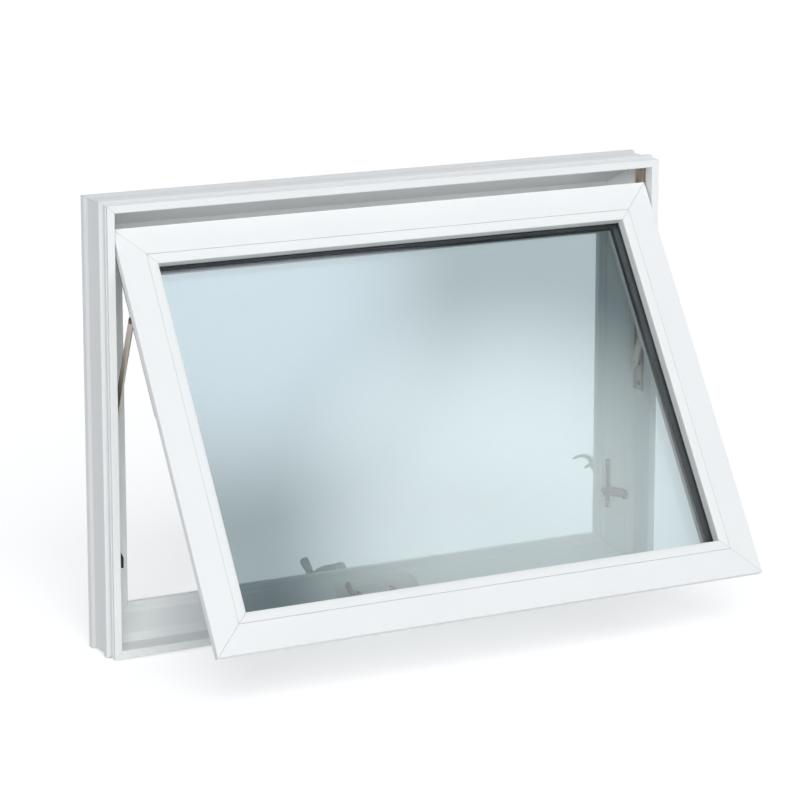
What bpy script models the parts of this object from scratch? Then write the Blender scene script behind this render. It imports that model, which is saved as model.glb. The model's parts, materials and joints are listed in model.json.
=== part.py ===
"""Awning window: a fixed PVC frame, a glazed sash on four-bar side hinges, a crank operator and a side lock.

The origin is on the sill's underside, midway along it. +X is to the right seen from outside, +Y is
into the room and +Z is up. The sash is modelled closed, and each pivot then turns it to the rest pose.
"""

import math

import bmesh
import bpy
from mathutils import Matrix, Vector

# ---------------------------------------------------------------- driving sizes, in metres

FRAME_WIDTH = 0.820
FRAME_HEIGHT = 0.596
OPEN_ANGLE = math.radians(32.5)

CLEARANCE = 0.0003  # between pieces that touch on the real window
MITRE_SLIP = 0.0002  # each member stops this short of its corner's mitre

# Frame extrusion: insets from the outer lip face, and depths behind the front face
FRAME_DEPTH = 0.0826
WALL = 0.0024
LIP = 0.0105
LIP_DEPTH = 0.0175
DECK_INSET = 0.0080
DECK_END = 0.0400
RIDGE_INSET = 0.0205
RIDGE_DEPTH = 0.0500
SLOPE_INSET = 0.0370
FLANGE_FRONT = 0.0720
FLANGE_INSET = 0.0506
HUMP = 0.0030  # how far the nailing hump stands outside the lip
HUMP_START = 0.0235
HUMP_END = 0.0450
REAR_RIB = 0.0012
REAR_RIB_START = 0.0680

# Sash extrusion: insets from the sash's edge, and depths behind its front face
SASH_GAP = 0.0025
SASH_RECESS = 0.0100
SASH_DEPTH = 0.0520
OVERHANG = 0.0150
OVERHANG_THICKNESS = 0.0100
BEAD_INSET = 0.0375
SIGHT_INSET = 0.0510
BEAD_DEPTH = 0.0142
PANE = 0.0030
AIR_GAP = 0.0160
GASKET = 0.0018
GLASS_EDGE = 0.0405
SPACER_WIDTH = 0.0070
SEAL_WIDTH = 0.0070

# Side hinges
HINGE_DEPTH = 0.0300
SHOE_DROP = 0.0053  # shoe pivot below the sash's top edge
SASH_ARM = 0.1120  # shoe pivot to support-arm pivot
SUPPORT_ARM = 0.1600
HINGE_PLATE = 0.0025
ARM_WIDTH = 0.0130
TRACK_WIDTH = 0.0185
TRACK_TAIL = 0.0380
TRACK_INSET = 0.0083
TRACK_BASE = 0.0012
TRACK_WALL = 0.0011
TRACK_HEIGHT = 0.0041
SUPPORT_INSET = 0.0160  # inset of the support arm's jamb side
SASH_ARM_INSET = 0.0195
SASH_ARM_TAIL = 0.1250
RIVET_RADIUS = 0.0025
RIVET_HEAD = 0.0043
SHOE_LENGTH = 0.0220
SHOE_WIDTH = 0.0120

# Operator
OPERATOR_DEPTH = 0.0440
GEAR_SPACING = 0.0155  # each hub from the middle
GEAR_TEETH = 28
GEAR_TIP = 0.0161
GEAR_ROOT = 0.0141
GEAR_LOW = 0.0085
GEAR_THICKNESS = 0.0030
DRIVE_LOW = 0.0147
LINK_LOW = 0.0178
STRAP = 0.0022
STRAP_WIDTH = 0.0110
STRAP_LENGTH = 0.3300  # long straps spread almost in step with the sash
GEAR_STUD = 0.0028  # radii of the operator's pins, from here down
ARM_STUD = 0.0029
TILT_PIN = 0.0011
LINK_PIN = 0.0016
LINK_HOLE = 0.0040
SET_SCREW = 0.0019
KNOB_PIN = 0.0021
HUB_RADIUS = 0.0080
POCKET_HALF = 0.0620
POCKET_FRONT = 0.0240
POCKET_REAR = 0.0700
POCKET_FLOOR = 0.0042
POCKET_CORNER = 0.0120
SHAFT_SLOPE = math.radians(35.0)
SHAFT_RADIUS = 0.0031
WORM_RADIUS = 0.0040
WORM_PITCH = 0.0034
CRANK_REACH = 0.0450
CRANK_AT = 0.0623  # along the shaft from the worm's middle
HUB_SOCKET = 0.0090
KNOB_LENGTH = 0.0230
COVER_LEFT = 0.0400  # the cover's reach to each side of the shaft
COVER_RIGHT = 0.0850
COVER_LOW = 0.0100
COVER_HIGH = 0.0405
COVER_THICKNESS = 0.0070

# Lock
LOCK_HEIGHT = 0.1230
LOCK_LENGTH = 0.0700
LOCK_TRAVEL = 0.0140
LEVER_LENGTH = 0.0600
LEVER_PIN = 0.0018
LUG_INSET = (0.0391, 0.0418)
LUG_HEIGHT = 0.0060
LUG_ROOM = 0.0010  # slot length to spare at each end of the lug's travel
HOOK_DROP = 0.0120  # the open hook's middle below the keeper's
CASE_THICKNESS = 0.0034
CASE_SPAN = (0.70, 0.91)  # shares of the slope that the lock case covers

# ---------------------------------------------------------------- sizes that follow

SEAT_DEPTH = (HUMP_START + HUMP_END) / 2
HALF_WIDTH = FRAME_WIDTH / 2 - HUMP
LIP_HEIGHT = FRAME_HEIGHT - 2 * HUMP
SASH_EDGE = LIP + SASH_GAP
SASH_TOP = LIP_HEIGHT - SASH_EDGE
OUTER_PANE = BEAD_DEPTH + GASKET + 2 * CLEARANCE
SPACER = OUTER_PANE + PANE + CLEARANCE
INNER_PANE = SPACER + AIR_GAP + CLEARANCE
BACK_GASKET = INNER_PANE + PANE + CLEARANCE
STOP_FRONT = BACK_GASKET + GASKET + CLEARANCE
SASH_SIDE = SASH_EDGE + OVERHANG

SHOE_HEIGHT = SASH_TOP - SHOE_DROP
ARM_HEIGHT = SHOE_HEIGHT - SASH_ARM
PIVOT_HEIGHT = ARM_HEIGHT - SUPPORT_ARM
SUPPORT_ANGLE = math.asin(SASH_ARM * math.sin(OPEN_ANGLE) / SUPPORT_ARM)
SHOE_FALL = SASH_ARM * (1 - math.cos(OPEN_ANGLE)) + SUPPORT_ARM * (1 - math.cos(SUPPORT_ANGLE))

PIN_DEPTH = HINGE_DEPTH
TILT_HEIGHT = LINK_LOW + STRAP / 2
SWING = SHOE_HEIGHT - TILT_HEIGHT  # shoe pivot to operator pin
PIN_OUT = OPERATOR_DEPTH - (PIN_DEPTH - SWING * math.sin(OPEN_ANGLE))
PIN_UP = SWING * (1 - math.cos(OPEN_ANGLE)) - SHOE_FALL
CLOSED_SPREAD = math.acos((OPERATOR_DEPTH - PIN_DEPTH) / (2 * STRAP_LENGTH))
OPEN_SPREAD = math.acos(math.hypot(PIN_OUT, PIN_UP) / (2 * STRAP_LENGTH))
SPREAD_CHANGE = CLOSED_SPREAD - OPEN_SPREAD
TILT_ANGLE = math.atan2(PIN_UP, PIN_OUT)

WORM_X = -(GEAR_SPACING + GEAR_TIP + WORM_RADIUS + CLEARANCE)
WORM_HEIGHT = GEAR_LOW + GEAR_THICKNESS / 2
SHAFT_LINE = Vector((0, math.cos(SHAFT_SLOPE), math.sin(SHAFT_SLOPE)))
LEVER_AT = (FRAME_DEPTH + 0.0100, LOCK_HEIGHT + 0.0200)  # depth and height of the lever's pin

MATERIALS = {
    "white_pvc": ((0.86, 0.87, 0.87), 0.35, 0.0),
    "glass": ((0.78, 0.84, 0.88), 0.05, 0.0),
    "spacer": ((0.62, 0.64, 0.65), 0.4, 0.8),
    "black_rubber": ((0.02, 0.02, 0.022), 0.7, 0.0),
    "stainless": ((0.62, 0.60, 0.56), 0.35, 1.0),
    "zinc_steel": ((0.42, 0.39, 0.36), 0.45, 0.9),
    "lever_paint": ((0.66, 0.70, 0.67), 0.4, 0.0),
    "brass_screw": ((0.60, 0.50, 0.30), 0.4, 1.0),
    "acetal": ((0.05, 0.05, 0.055), 0.5, 0.0),
}


# ---------------------------------------------------------------- helpers


def at(x, depth, height):
    """The point at x, this deep behind the frame's front face and this high above the sill's lip face."""
    return Vector((x, depth - SEAT_DEPTH, height + HUMP))


def material(name):
    found = bpy.data.materials.get(name)
    if found:
        return found
    colour, roughness, metallic = MATERIALS[name]
    made = bpy.data.materials.new(name)
    made.use_nodes = True
    shader = made.node_tree.nodes["Principled BSDF"]
    shader.inputs["Base Color"].default_value = (*colour, 1.0)
    shader.inputs["Roughness"].default_value = roughness
    shader.inputs["Metallic"].default_value = metallic
    return made


class Pivot:
    """An empty on a joint's axis. `closed` is its place with the sash shut, when it is unturned."""

    def __init__(self, name, closed, parent=None, turn=(0, 0, 0)):
        self.closed = closed
        self.empty = bpy.data.objects.new(name, None)
        self.empty.empty_display_size = 0.02
        bpy.context.collection.objects.link(self.empty)
        if parent:
            self.empty.parent = parent.empty
            self.empty.location = closed - parent.closed
        else:
            self.empty.location = closed
        self.empty.rotation_euler = turn


def add(name, bm, look, pivot=None, smooth=False):
    """An object from a bmesh. The bmesh is in closed-sash coordinates, and is moved to its pivot's own."""
    mesh = bpy.data.meshes.new(name)
    bm.to_mesh(mesh)
    bm.free()
    mesh.materials.append(material(look))
    if smooth:
        mesh.shade_smooth()
        mesh.set_sharp_from_angle(angle=math.radians(35))
    made = bpy.data.objects.new(name, mesh)
    bpy.context.collection.objects.link(made)
    if pivot:
        mesh.transform(Matrix.Translation(-pivot.closed))
        made.parent = pivot.empty
    return made


def combine(target, bm, operation, pivot=None):
    """Cuts the bmesh from the target, or joins it on, with a Boolean modifier."""
    cutter = add(f"{target.name}_{operation.lower()}_{len(target.modifiers)}", bm, "white_pvc", pivot)
    cutter.hide_render = True
    cutter.display_type = "WIRE"
    modifier = target.modifiers.new(operation.title(), "BOOLEAN")
    modifier.operation = operation
    modifier.solver = "EXACT"
    modifier.object = cutter


def prism(loops, start, end):
    """Joins two copies of an outline with holes. start and end place an outline's point in space."""
    bm = bmesh.new()
    rims = ([], [])
    for loop in loops:
        near = [bm.verts.new(start(*point)) for point in loop]
        far = [bm.verts.new(end(*point)) for point in loop]
        for i in range(len(loop)):
            j = (i + 1) % len(loop)
            bm.faces.new((near[i], near[j], far[j], far[i]))
            rims[0].append(bm.edges.get((near[i], near[j])))
            rims[1].append(bm.edges.get((far[i], far[j])))
    for edges in rims:
        bmesh.ops.triangle_fill(bm, use_beauty=True, edges=edges)
    bmesh.ops.recalc_face_normals(bm, faces=bm.faces)
    return bm


def plate_x(loops, x0, x1):
    """A plate that faces along X. Its outline is in (depth, height)."""
    return prism(loops, lambda d, h: at(x0, d, h), lambda d, h: at(x1, d, h))


def plate_y(loops, depth0, depth1):
    """A plate that faces along Y. Its outline is in (x, height)."""
    return prism(loops, lambda x, h: at(x, depth0, h), lambda x, h: at(x, depth1, h))


def plate_z(loops, height0, height1):
    """A plate that lies flat. Its outline is in (x, depth)."""
    return prism(loops, lambda x, d: at(x, d, height0), lambda x, d: at(x, d, height1))


def block(x0, x1, depth0, depth1, height0, height1):
    return plate_z([rectangle(x0, x1, depth0, depth1)], height0, height1)


def rectangle(a0, a1, b0, b1):
    return [(a0, b0), (a1, b0), (a1, b1), (a0, b1)]


def circle(a, b, radius, count=16):
    steps = [2 * math.pi * i / count for i in range(count)]
    return [(a + radius * math.cos(t), b + radius * math.sin(t)) for t in steps]


def rounded(a0, a1, b0, b1, radius, count=4):
    """A rectangle with round corners."""
    corners = ((a1, b1, 0), (a0, b1, 90), (a0, b0, 180), (a1, b0, 270))
    points = []
    for a, b, start in corners:
        centre_a = a - radius if a == a1 else a + radius
        centre_b = b - radius if b == b1 else b + radius
        for i in range(count + 1):
            turn = math.radians(start + 90 * i / count)
            points.append((centre_a + radius * math.cos(turn), centre_b + radius * math.sin(turn)))
    return points


def strap(points, width, count=6):
    """The outline of a flat bar of this width along a line of points, with round ends."""
    half = width / 2
    line = [Vector(point) for point in points]
    runs = [(line[i + 1] - line[i]).normalized() for i in range(len(line) - 1)]
    sides = [Vector((-run.y, run.x)) for run in runs]

    def bend(i):
        joined = (sides[i - 1] + sides[i]).normalized()
        return joined * (half / joined.dot(sides[i]))

    def cap(centre, side, sweep):
        turned = [Matrix.Rotation(sweep * i / count, 2) @ side for i in range(count + 1)]
        return [centre + half * one for one in turned]

    left = [line[i] + bend(i) for i in range(1, len(line) - 1)]
    right = [line[i] - bend(i) for i in range(1, len(line) - 1)]
    far_cap = cap(line[-1], sides[-1], -math.pi)
    near_cap = cap(line[0], -sides[0], -math.pi)
    outline = left + far_cap + right[::-1] + near_cap
    return [(point.x, point.y) for point in outline]


def turned(profile, origin, axis, count=20):
    """Spins a closed profile of (radius, distance along the axis) points about the axis."""
    bm = bmesh.new()
    verts = [bm.verts.new((radius, 0, along)) for radius, along in profile]
    edges = [bm.edges.new((verts[i - 1], verts[i])) for i in range(len(verts))]
    geometry = [*verts, *edges]
    bmesh.ops.spin(bm, geom=geometry, axis=(0, 0, 1), cent=(0, 0, 0), angle=2 * math.pi, steps=count)
    bmesh.ops.remove_doubles(bm, verts=bm.verts, dist=1e-7)
    on_axis = [edge for edge in bm.edges if not edge.link_faces]
    bmesh.ops.delete(bm, geom=on_axis, context="EDGES")
    bmesh.ops.recalc_face_normals(bm, faces=bm.faces)
    turn = Vector((0, 0, 1)).rotation_difference(axis).to_matrix().to_4x4()
    bm.transform(Matrix.Translation(origin) @ turn)
    return bm


def rod(radius, start, end, count=16):
    """A plain round bar between two points."""
    along = end - start
    profile = [(0, 0), (radius, 0), (radius, along.length), (0, along.length)]
    return turned(profile, start, along.normalized(), count)


def loft(rings):
    """Skins closed rings of points, and closes both ends."""
    bm = bmesh.new()
    rows = [[bm.verts.new(point) for point in ring] for ring in rings]
    for near, far in zip(rows, rows[1:]):
        for i in range(len(near)):
            j = (i + 1) % len(near)
            bm.faces.new((near[i], near[j], far[j], far[i]))
    bm.faces.new(rows[0])
    bm.faces.new(rows[-1])
    bmesh.ops.recalc_face_normals(bm, faces=bm.faces)
    return bm


# ---------------------------------------------------------------- frame


def frame_outline():
    """The frame extrusion: the outer face down its outside, then back along the inside, and its chambers."""
    outside = [
        (0.0, 0.0),
        (0.0, 0.0105),
        (0.0014, 0.0115),
        (0.0014, 0.0145),
        (-HUMP, HUMP_START),
        (-HUMP, HUMP_END),
        (0.0, HUMP_END + 0.005),
        (0.0, REAR_RIB_START - 0.002),
        (-REAR_RIB, REAR_RIB_START),
        (-REAR_RIB, FRAME_DEPTH - 0.0022),
        (0.0010, FRAME_DEPTH),
    ]
    inside = [
        (FLANGE_INSET - 0.0012, FRAME_DEPTH),
        (FLANGE_INSET, FRAME_DEPTH - 0.0012),
        (FLANGE_INSET, FLANGE_FRONT + 0.0025),
        (FLANGE_INSET - 0.0015, FLANGE_FRONT + 0.0012),
        (FLANGE_INSET - 0.0070, FLANGE_FRONT + 0.0012),
        (FLANGE_INSET - 0.0078, FLANGE_FRONT),
        (SLOPE_INSET, FLANGE_FRONT),
        (RIDGE_INSET, RIDGE_DEPTH),
        (RIDGE_INSET - 0.0006, RIDGE_DEPTH - 0.0012),
        (RIDGE_INSET - 0.0018, RIDGE_DEPTH - 0.0016),
        (RIDGE_INSET - 0.0020, RIDGE_DEPTH - 0.0035),
        (DECK_INSET, DECK_END),
        (DECK_INSET, LIP_DEPTH + 0.0005),
        (LIP, LIP_DEPTH),
        (LIP, 0.0010),
        (LIP - 0.0010, 0.0),
    ]
    lip_chamber = rectangle(WALL, LIP - WALL, WALL, LIP_DEPTH - WALL)[:2] + [
        (LIP - WALL, LIP_DEPTH - WALL),
        (0.0014 + WALL, LIP_DEPTH - WALL),
        (0.0014 + WALL, 0.0110),
        (WALL, 0.0100),
    ]
    deck_chamber = rectangle(WALL - HUMP, DECK_INSET - WALL, HUMP_START + 0.001, DECK_END - 0.001)
    rear_chamber = [
        (WALL + 0.0004, HUMP_END + 0.0035),
        (RIDGE_INSET - 0.0062, HUMP_END + 0.0035),
        (RIDGE_INSET - 0.0022, RIDGE_DEPTH + 0.0020),
        (SLOPE_INSET - 0.0023, FLANGE_FRONT + WALL),
        (FLANGE_INSET - WALL, FLANGE_FRONT + WALL + 0.0010),
        (FLANGE_INSET - WALL, FRAME_DEPTH - WALL),
        (WALL + 0.0004, FRAME_DEPTH - WALL),
    ]
    return [outside + inside, lip_chamber, deck_chamber, rear_chamber]


def member(side, inset, front, loops):
    """One mitred length of an extrusion that runs round a rectangle this far inside the frame's lip face."""
    half = HALF_WIDTH - inset
    low, high = inset, LIP_HEIGHT - inset

    def lying(level, away, end):
        return lambda e, d: at(end * (half - e - MITRE_SLIP), front + d, level + away * e)

    def upright(sideways, level, away):
        return lambda e, d: at(sideways * (half - e), front + d, level + away * (e + MITRE_SLIP))

    ends = {
        "bottom": (lying(low, 1, -1), lying(low, 1, 1)),
        "top": (lying(high, -1, -1), lying(high, -1, 1)),
        "left": (upright(-1, low, 1), upright(-1, high, -1)),
        "right": (upright(1, low, 1), upright(1, high, -1)),
    }
    return prism(loops, *ends[side])


def ring(inset, width, front, thickness):
    """A rectangular ring, its outer edge this far inside the frame's lip face."""

    def loop(e):
        return rectangle(-HALF_WIDTH + e, HALF_WIDTH - e, e, LIP_HEIGHT - e)

    return plate_y([loop(inset), loop(inset + width)], front, front + thickness)


def make_frame():
    outline = frame_outline()
    add("frame_head", member("top", 0, 0, outline), "white_pvc")
    add("frame_jamb_left", member("left", 0, 0, outline), "white_pvc")
    sill = add("frame_sill", member("bottom", 0, 0, outline), "white_pvc")
    pocket = rounded(-POCKET_HALF, POCKET_HALF, POCKET_FRONT, POCKET_REAR, POCKET_CORNER)
    combine(sill, plate_z([pocket], POCKET_FLOOR, FLANGE_INSET), "DIFFERENCE")
    combine(sill, rod(WORM_RADIUS + 0.0008, shaft_point(-0.0100), shaft_point(0.060)), "DIFFERENCE")
    jamb = add("frame_jamb_right", member("right", 0, 0, outline), "white_pvc")
    combine(jamb, lock_slot(FLANGE_FRONT - 0.004, FRAME_DEPTH + 0.004), "DIFFERENCE")


def make_left_guide():
    """A small nylon block on the left jamb that centres the closing sash."""
    outer = -HALF_WIDTH + DECK_INSET + CLEARANCE
    inner = -HALF_WIDTH + SASH_SIDE - 0.0045
    outline = [
        (LIP_DEPTH + 0.0050, LOCK_HEIGHT - 0.009),
        (LIP_DEPTH + 0.0130, LOCK_HEIGHT - 0.009),
        (LIP_DEPTH + 0.0130, LOCK_HEIGHT + 0.009),
        (LIP_DEPTH + 0.0050, LOCK_HEIGHT + 0.005),
    ]
    add("sash_guide", plate_x([outline], outer, inner), "acetal")


# ---------------------------------------------------------------- sash


def sash_outline():
    """The sash extrusion: front face, glazing rebate, inner stop, back and side, and its one chamber."""
    solid = [
        (0.0, 0.0008),
        (0.0008, 0.0),
        (BEAD_INSET - 0.0004, 0.0),
        (BEAD_INSET, 0.0004),
        (BEAD_INSET, STOP_FRONT),
        (SIGHT_INSET, STOP_FRONT),
        (SIGHT_INSET, SASH_DEPTH - 0.0040),
        (SIGHT_INSET - 0.0030, SASH_DEPTH),
        (OVERHANG + 0.0105, SASH_DEPTH),
        (OVERHANG, SASH_DEPTH - 0.0140),
        (OVERHANG, OVERHANG_THICKNESS),
        (0.0, OVERHANG_THICKNESS),
    ]
    chamber = [
        (WALL, WALL),
        (BEAD_INSET - WALL, WALL),
        (BEAD_INSET - WALL, STOP_FRONT + WALL),
        (SIGHT_INSET - WALL, STOP_FRONT + WALL),
        (SIGHT_INSET - WALL - 0.0015, SASH_DEPTH - WALL),
        (OVERHANG + 0.0120, SASH_DEPTH - WALL),
        (OVERHANG + WALL, SASH_DEPTH - 0.0150),
        (OVERHANG + WALL, OVERHANG_THICKNESS - WALL),
        (WALL, OVERHANG_THICKNESS - WALL),
    ]
    return [solid, chamber]


def bead_outline():
    """The snap-in glazing bead, hollow, with its sloped face towards the glass."""
    outer = BEAD_INSET + CLEARANCE
    solid = [
        (outer, 0.0004),
        (outer + 0.0006, 0.0),
        (outer + 0.0088, 0.0008),
        (SIGHT_INSET - 0.0008, 0.0034),
        (SIGHT_INSET, 0.0052),
        (SIGHT_INSET, BEAD_DEPTH),
        (outer, BEAD_DEPTH),
    ]
    thin = 0.0014
    chamber = [
        (outer + thin, thin),
        (outer + 0.0086, thin + 0.0010),
        (SIGHT_INSET - thin, 0.0056),
        (SIGHT_INSET - thin, BEAD_DEPTH - thin),
        (outer + thin, BEAD_DEPTH - thin),
    ]
    return [solid, chamber]


def make_sash(pivot):
    names = {"top": "top_rail", "bottom": "bottom_rail", "left": "left_stile", "right": "right_stile"}
    for side, name in names.items():
        length = member(side, SASH_EDGE, SASH_RECESS, sash_outline())
        add(f"sash_{name}", length, "white_pvc", pivot)
        length = member(side, SASH_EDGE, SASH_RECESS, bead_outline())
        add(f"glazing_bead_{side}", length, "white_pvc", pivot)
    make_glazing(pivot)
    seal_depth = FLANGE_FRONT - SASH_RECESS - SASH_DEPTH - 4 * CLEARANCE
    seal = ring(SLOPE_INSET + 0.0062, SEAL_WIDTH, SASH_RECESS + SASH_DEPTH + CLEARANCE, seal_depth)
    add("sash_seal", seal, "black_rubber", pivot)


def make_glazing(pivot):
    edge = SASH_EDGE + GLASS_EDGE
    glass = rectangle(-HALF_WIDTH + edge, HALF_WIDTH - edge, edge, LIP_HEIGHT - edge)
    for name, front in (("outer_pane", OUTER_PANE), ("inner_pane", INNER_PANE)):
        pane = plate_y([glass], SASH_RECESS + front, SASH_RECESS + front + PANE)
        add(name, pane, "glass", pivot)
    spacer = ring(edge + 0.0015, SPACER_WIDTH, SASH_RECESS + SPACER, AIR_GAP)
    add("glazing_spacer", spacer, "spacer", pivot)
    width = SIGHT_INSET - GLASS_EDGE + 0.0012
    front = ring(edge, width, SASH_RECESS + BEAD_DEPTH + CLEARANCE, GASKET)
    add("outer_glazing_gasket", front, "black_rubber", pivot)
    back = ring(edge, width, SASH_RECESS + BACK_GASKET, GASKET)
    add("inner_glazing_gasket", back, "black_rubber", pivot)
    for side, name in ((-1, "left"), (1, "right")):
        middle = side * (HALF_WIDTH - edge) / 2
        bottom = SASH_EDGE + BEAD_INSET + CLEARANCE
        top = edge - CLEARANCE
        front, rear = SASH_RECESS + OUTER_PANE, SASH_RECESS + INNER_PANE + PANE
        setting = block(middle - 0.05, middle + 0.05, front, rear, bottom, top)
        add(f"setting_block_{name}", setting, "acetal", pivot)


# ---------------------------------------------------------------- side hinges


def hinge_x(side, inset):
    return side * (HALF_WIDTH - inset)


def make_track(side, name):
    """A steel channel on the jamb's deck, with the support arm's fixed stud."""
    low, high = PIVOT_HEIGHT - TRACK_TAIL, LIP_HEIGHT - DECK_INSET - CLEARANCE
    front, rear = HINGE_DEPTH - TRACK_WIDTH / 2, HINGE_DEPTH + TRACK_WIDTH / 2
    base, top = TRACK_INSET + TRACK_BASE, TRACK_INSET + TRACK_HEIGHT
    channel = [
        (front, TRACK_INSET),
        (rear, TRACK_INSET),
        (rear, top),
        (rear - TRACK_WALL, top),
        (rear - TRACK_WALL, base),
        (front + TRACK_WALL, base),
        (front + TRACK_WALL, top),
        (front, top),
    ]
    length = prism(
        [channel],
        lambda depth, inset: at(hinge_x(side, inset), depth, low),
        lambda depth, inset: at(hinge_x(side, inset), depth, high),
    )
    track = add(f"hinge_track_{name}", length, "stainless")
    for height in (low + 0.010, PIVOT_HEIGHT + 0.075, high - 0.012):
        start = at(hinge_x(side, TRACK_INSET - 0.002), HINGE_DEPTH, height)
        end = at(hinge_x(side, base + 0.002), HINGE_DEPTH, height)
        combine(track, rod(0.0024, start, end, 12), "DIFFERENCE")
    outer = SUPPORT_INSET + HINGE_PLATE + CLEARANCE
    profile = [
        (0, 0),
        (RIVET_HEAD, 0),
        (RIVET_HEAD, SUPPORT_INSET - base - CLEARANCE + 0.0004),
        (RIVET_RADIUS, SUPPORT_INSET - base - CLEARANCE + 0.0004),
        (RIVET_RADIUS, outer - base + 0.0004),
        (RIVET_HEAD, outer - base + 0.0004),
        (RIVET_HEAD - 0.0012, outer - base + 0.0016),
        (0, outer - base + 0.0016),
    ]
    origin = at(hinge_x(side, base - 0.0004), HINGE_DEPTH, PIVOT_HEIGHT)
    combine(track, turned(profile, origin, Vector((-side, 0, 0)), 16), "UNION")


def make_support_arm(side, name, pivot):
    loops = [
        strap([(HINGE_DEPTH, PIVOT_HEIGHT), (HINGE_DEPTH, ARM_HEIGHT)], ARM_WIDTH),
        circle(HINGE_DEPTH, PIVOT_HEIGHT, RIVET_RADIUS + CLEARANCE, 12),
        circle(HINGE_DEPTH, ARM_HEIGHT, RIVET_RADIUS + CLEARANCE, 12),
    ]
    outer, inner = hinge_x(side, SUPPORT_INSET), hinge_x(side, SUPPORT_INSET + HINGE_PLATE)
    add(f"support_arm_{name}", plate_x(loops, outer, inner), "stainless", pivot)
    # The rivet that the sash arm turns on has a head at each end.
    far = SASH_ARM_INSET + HINGE_PLATE + CLEARANCE
    head = 0.0011
    span = far - SUPPORT_INSET + CLEARANCE
    profile = [
        (0, -head),
        (RIVET_HEAD - 0.0008, -head),
        (RIVET_HEAD, 0),
        (RIVET_RADIUS, 0),
        (RIVET_RADIUS, span),
        (RIVET_HEAD, span),
        (RIVET_HEAD - 0.0008, span + head),
        (0, span + head),
    ]
    origin = at(hinge_x(side, SUPPORT_INSET - CLEARANCE), HINGE_DEPTH, ARM_HEIGHT)
    rivet = turned(profile, origin, Vector((-side, 0, 0)), 14)
    add(f"arm_rivet_{name}", rivet, "zinc_steel", pivot, smooth=True)


def make_sash_arm(side, name, pivot):
    """The arm screwed to the stile's side on two offset feet, from the shoe down past the support arm."""
    tail = ARM_HEIGHT - SASH_ARM_TAIL
    loops = [
        strap([(HINGE_DEPTH, tail), (HINGE_DEPTH, SHOE_HEIGHT)], ARM_WIDTH),
        circle(HINGE_DEPTH, SHOE_HEIGHT, RIVET_RADIUS + CLEARANCE, 12),
        circle(HINGE_DEPTH, ARM_HEIGHT, RIVET_RADIUS + CLEARANCE, 12),
    ]
    outer, inner = hinge_x(side, SASH_ARM_INSET), hinge_x(side, SASH_ARM_INSET + HINGE_PLATE)
    arm = add(f"sash_arm_{name}", plate_x(loops, outer, inner), "stainless", pivot)
    for height in (ARM_HEIGHT - 0.045, tail + 0.012):
        foot = rectangle(
            HINGE_DEPTH - ARM_WIDTH / 2 + 0.0005,
            HINGE_DEPTH + ARM_WIDTH / 2 - 0.0005,
            height - 0.009,
            height + 0.009,
        )
        foot_end = hinge_x(side, SASH_SIDE - CLEARANCE)
        combine(arm, plate_x([foot], inner + side * 0.0010, foot_end), "UNION", pivot)


def make_shoe(side, name, pivot):
    """A plastic block in the track, with the stud that the sash arm hangs on."""
    base, top = TRACK_INSET + TRACK_BASE + CLEARANCE, TRACK_INSET + TRACK_HEIGHT
    outline = rounded(
        HINGE_DEPTH - SHOE_WIDTH / 2,
        HINGE_DEPTH + SHOE_WIDTH / 2,
        SHOE_HEIGHT - SHOE_LENGTH / 2 + 0.004,
        SHOE_HEIGHT + SHOE_LENGTH / 2 - 0.004,
        0.0025,
        2,
    )
    body = plate_x([outline], hinge_x(side, base), hinge_x(side, top))
    shoe = add(f"hinge_shoe_{name}", body, "acetal", pivot)
    rise = SASH_ARM_INSET - CLEARANCE - top + 0.0006
    span = rise + HINGE_PLATE + 2 * CLEARANCE
    profile = [
        (0, 0),
        (RIVET_HEAD, 0),
        (RIVET_HEAD, rise),
        (RIVET_RADIUS, rise),
        (RIVET_RADIUS, span),
        (RIVET_HEAD, span),
        (RIVET_HEAD - 0.0008, span + 0.0011),
        (0, span + 0.0011),
    ]
    origin = at(hinge_x(side, top - 0.0006), HINGE_DEPTH, SHOE_HEIGHT)
    combine(shoe, turned(profile, origin, Vector((-side, 0, 0)), 14), "UNION", pivot)


def make_track_screws(side, name):
    low = PIVOT_HEIGHT - TRACK_TAIL
    inset = TRACK_INSET + TRACK_BASE + CLEARANCE
    for number, height in enumerate((low + 0.010, PIVOT_HEIGHT + 0.075), 1):
        profile = [(0, 0), (0.0036, 0), (0.0030, 0.0011), (0, 0.0015)]
        origin = at(hinge_x(side, inset), HINGE_DEPTH, height)
        head = turned(profile, origin, Vector((-side, 0, 0)), 12)
        add(f"track_screw_{name}_{number}", head, "zinc_steel", smooth=True)


def make_hinges():
    """Both side hinges. The sash hangs on the left one's arms, and the right one follows."""
    left = Pivot("support_arm_left_axis", hinge_pivot(-1), turn=(SUPPORT_ANGLE, 0, 0))
    closed = at(0, HINGE_DEPTH, ARM_HEIGHT)
    sash = Pivot("sash_axis", closed, left, (-(OPEN_ANGLE + SUPPORT_ANGLE), 0, 0))
    right = Pivot("support_arm_right_axis", hinge_pivot(1), turn=(SUPPORT_ANGLE, 0, 0))
    for side, name, arm in ((-1, "left", left), (1, "right", right)):
        make_track(side, name)
        make_track_screws(side, name)
        make_support_arm(side, name, arm)
        make_sash_arm(side, name, sash)
        shoe_at = at(hinge_x(side, SASH_ARM_INSET), HINGE_DEPTH, SHOE_HEIGHT)
        make_shoe(side, name, Pivot(f"hinge_shoe_{name}_axis", shoe_at, sash, (OPEN_ANGLE, 0, 0)))
    return sash


def hinge_pivot(side):
    return at(hinge_x(side, SUPPORT_INSET), HINGE_DEPTH, PIVOT_HEIGHT)


# ---------------------------------------------------------------- operator


def shaft_point(along):
    """A point on the crank shaft's axis, this far from the worm's middle."""
    return at(WORM_X, OPERATOR_DEPTH, WORM_HEIGHT) + SHAFT_LINE * along


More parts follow.
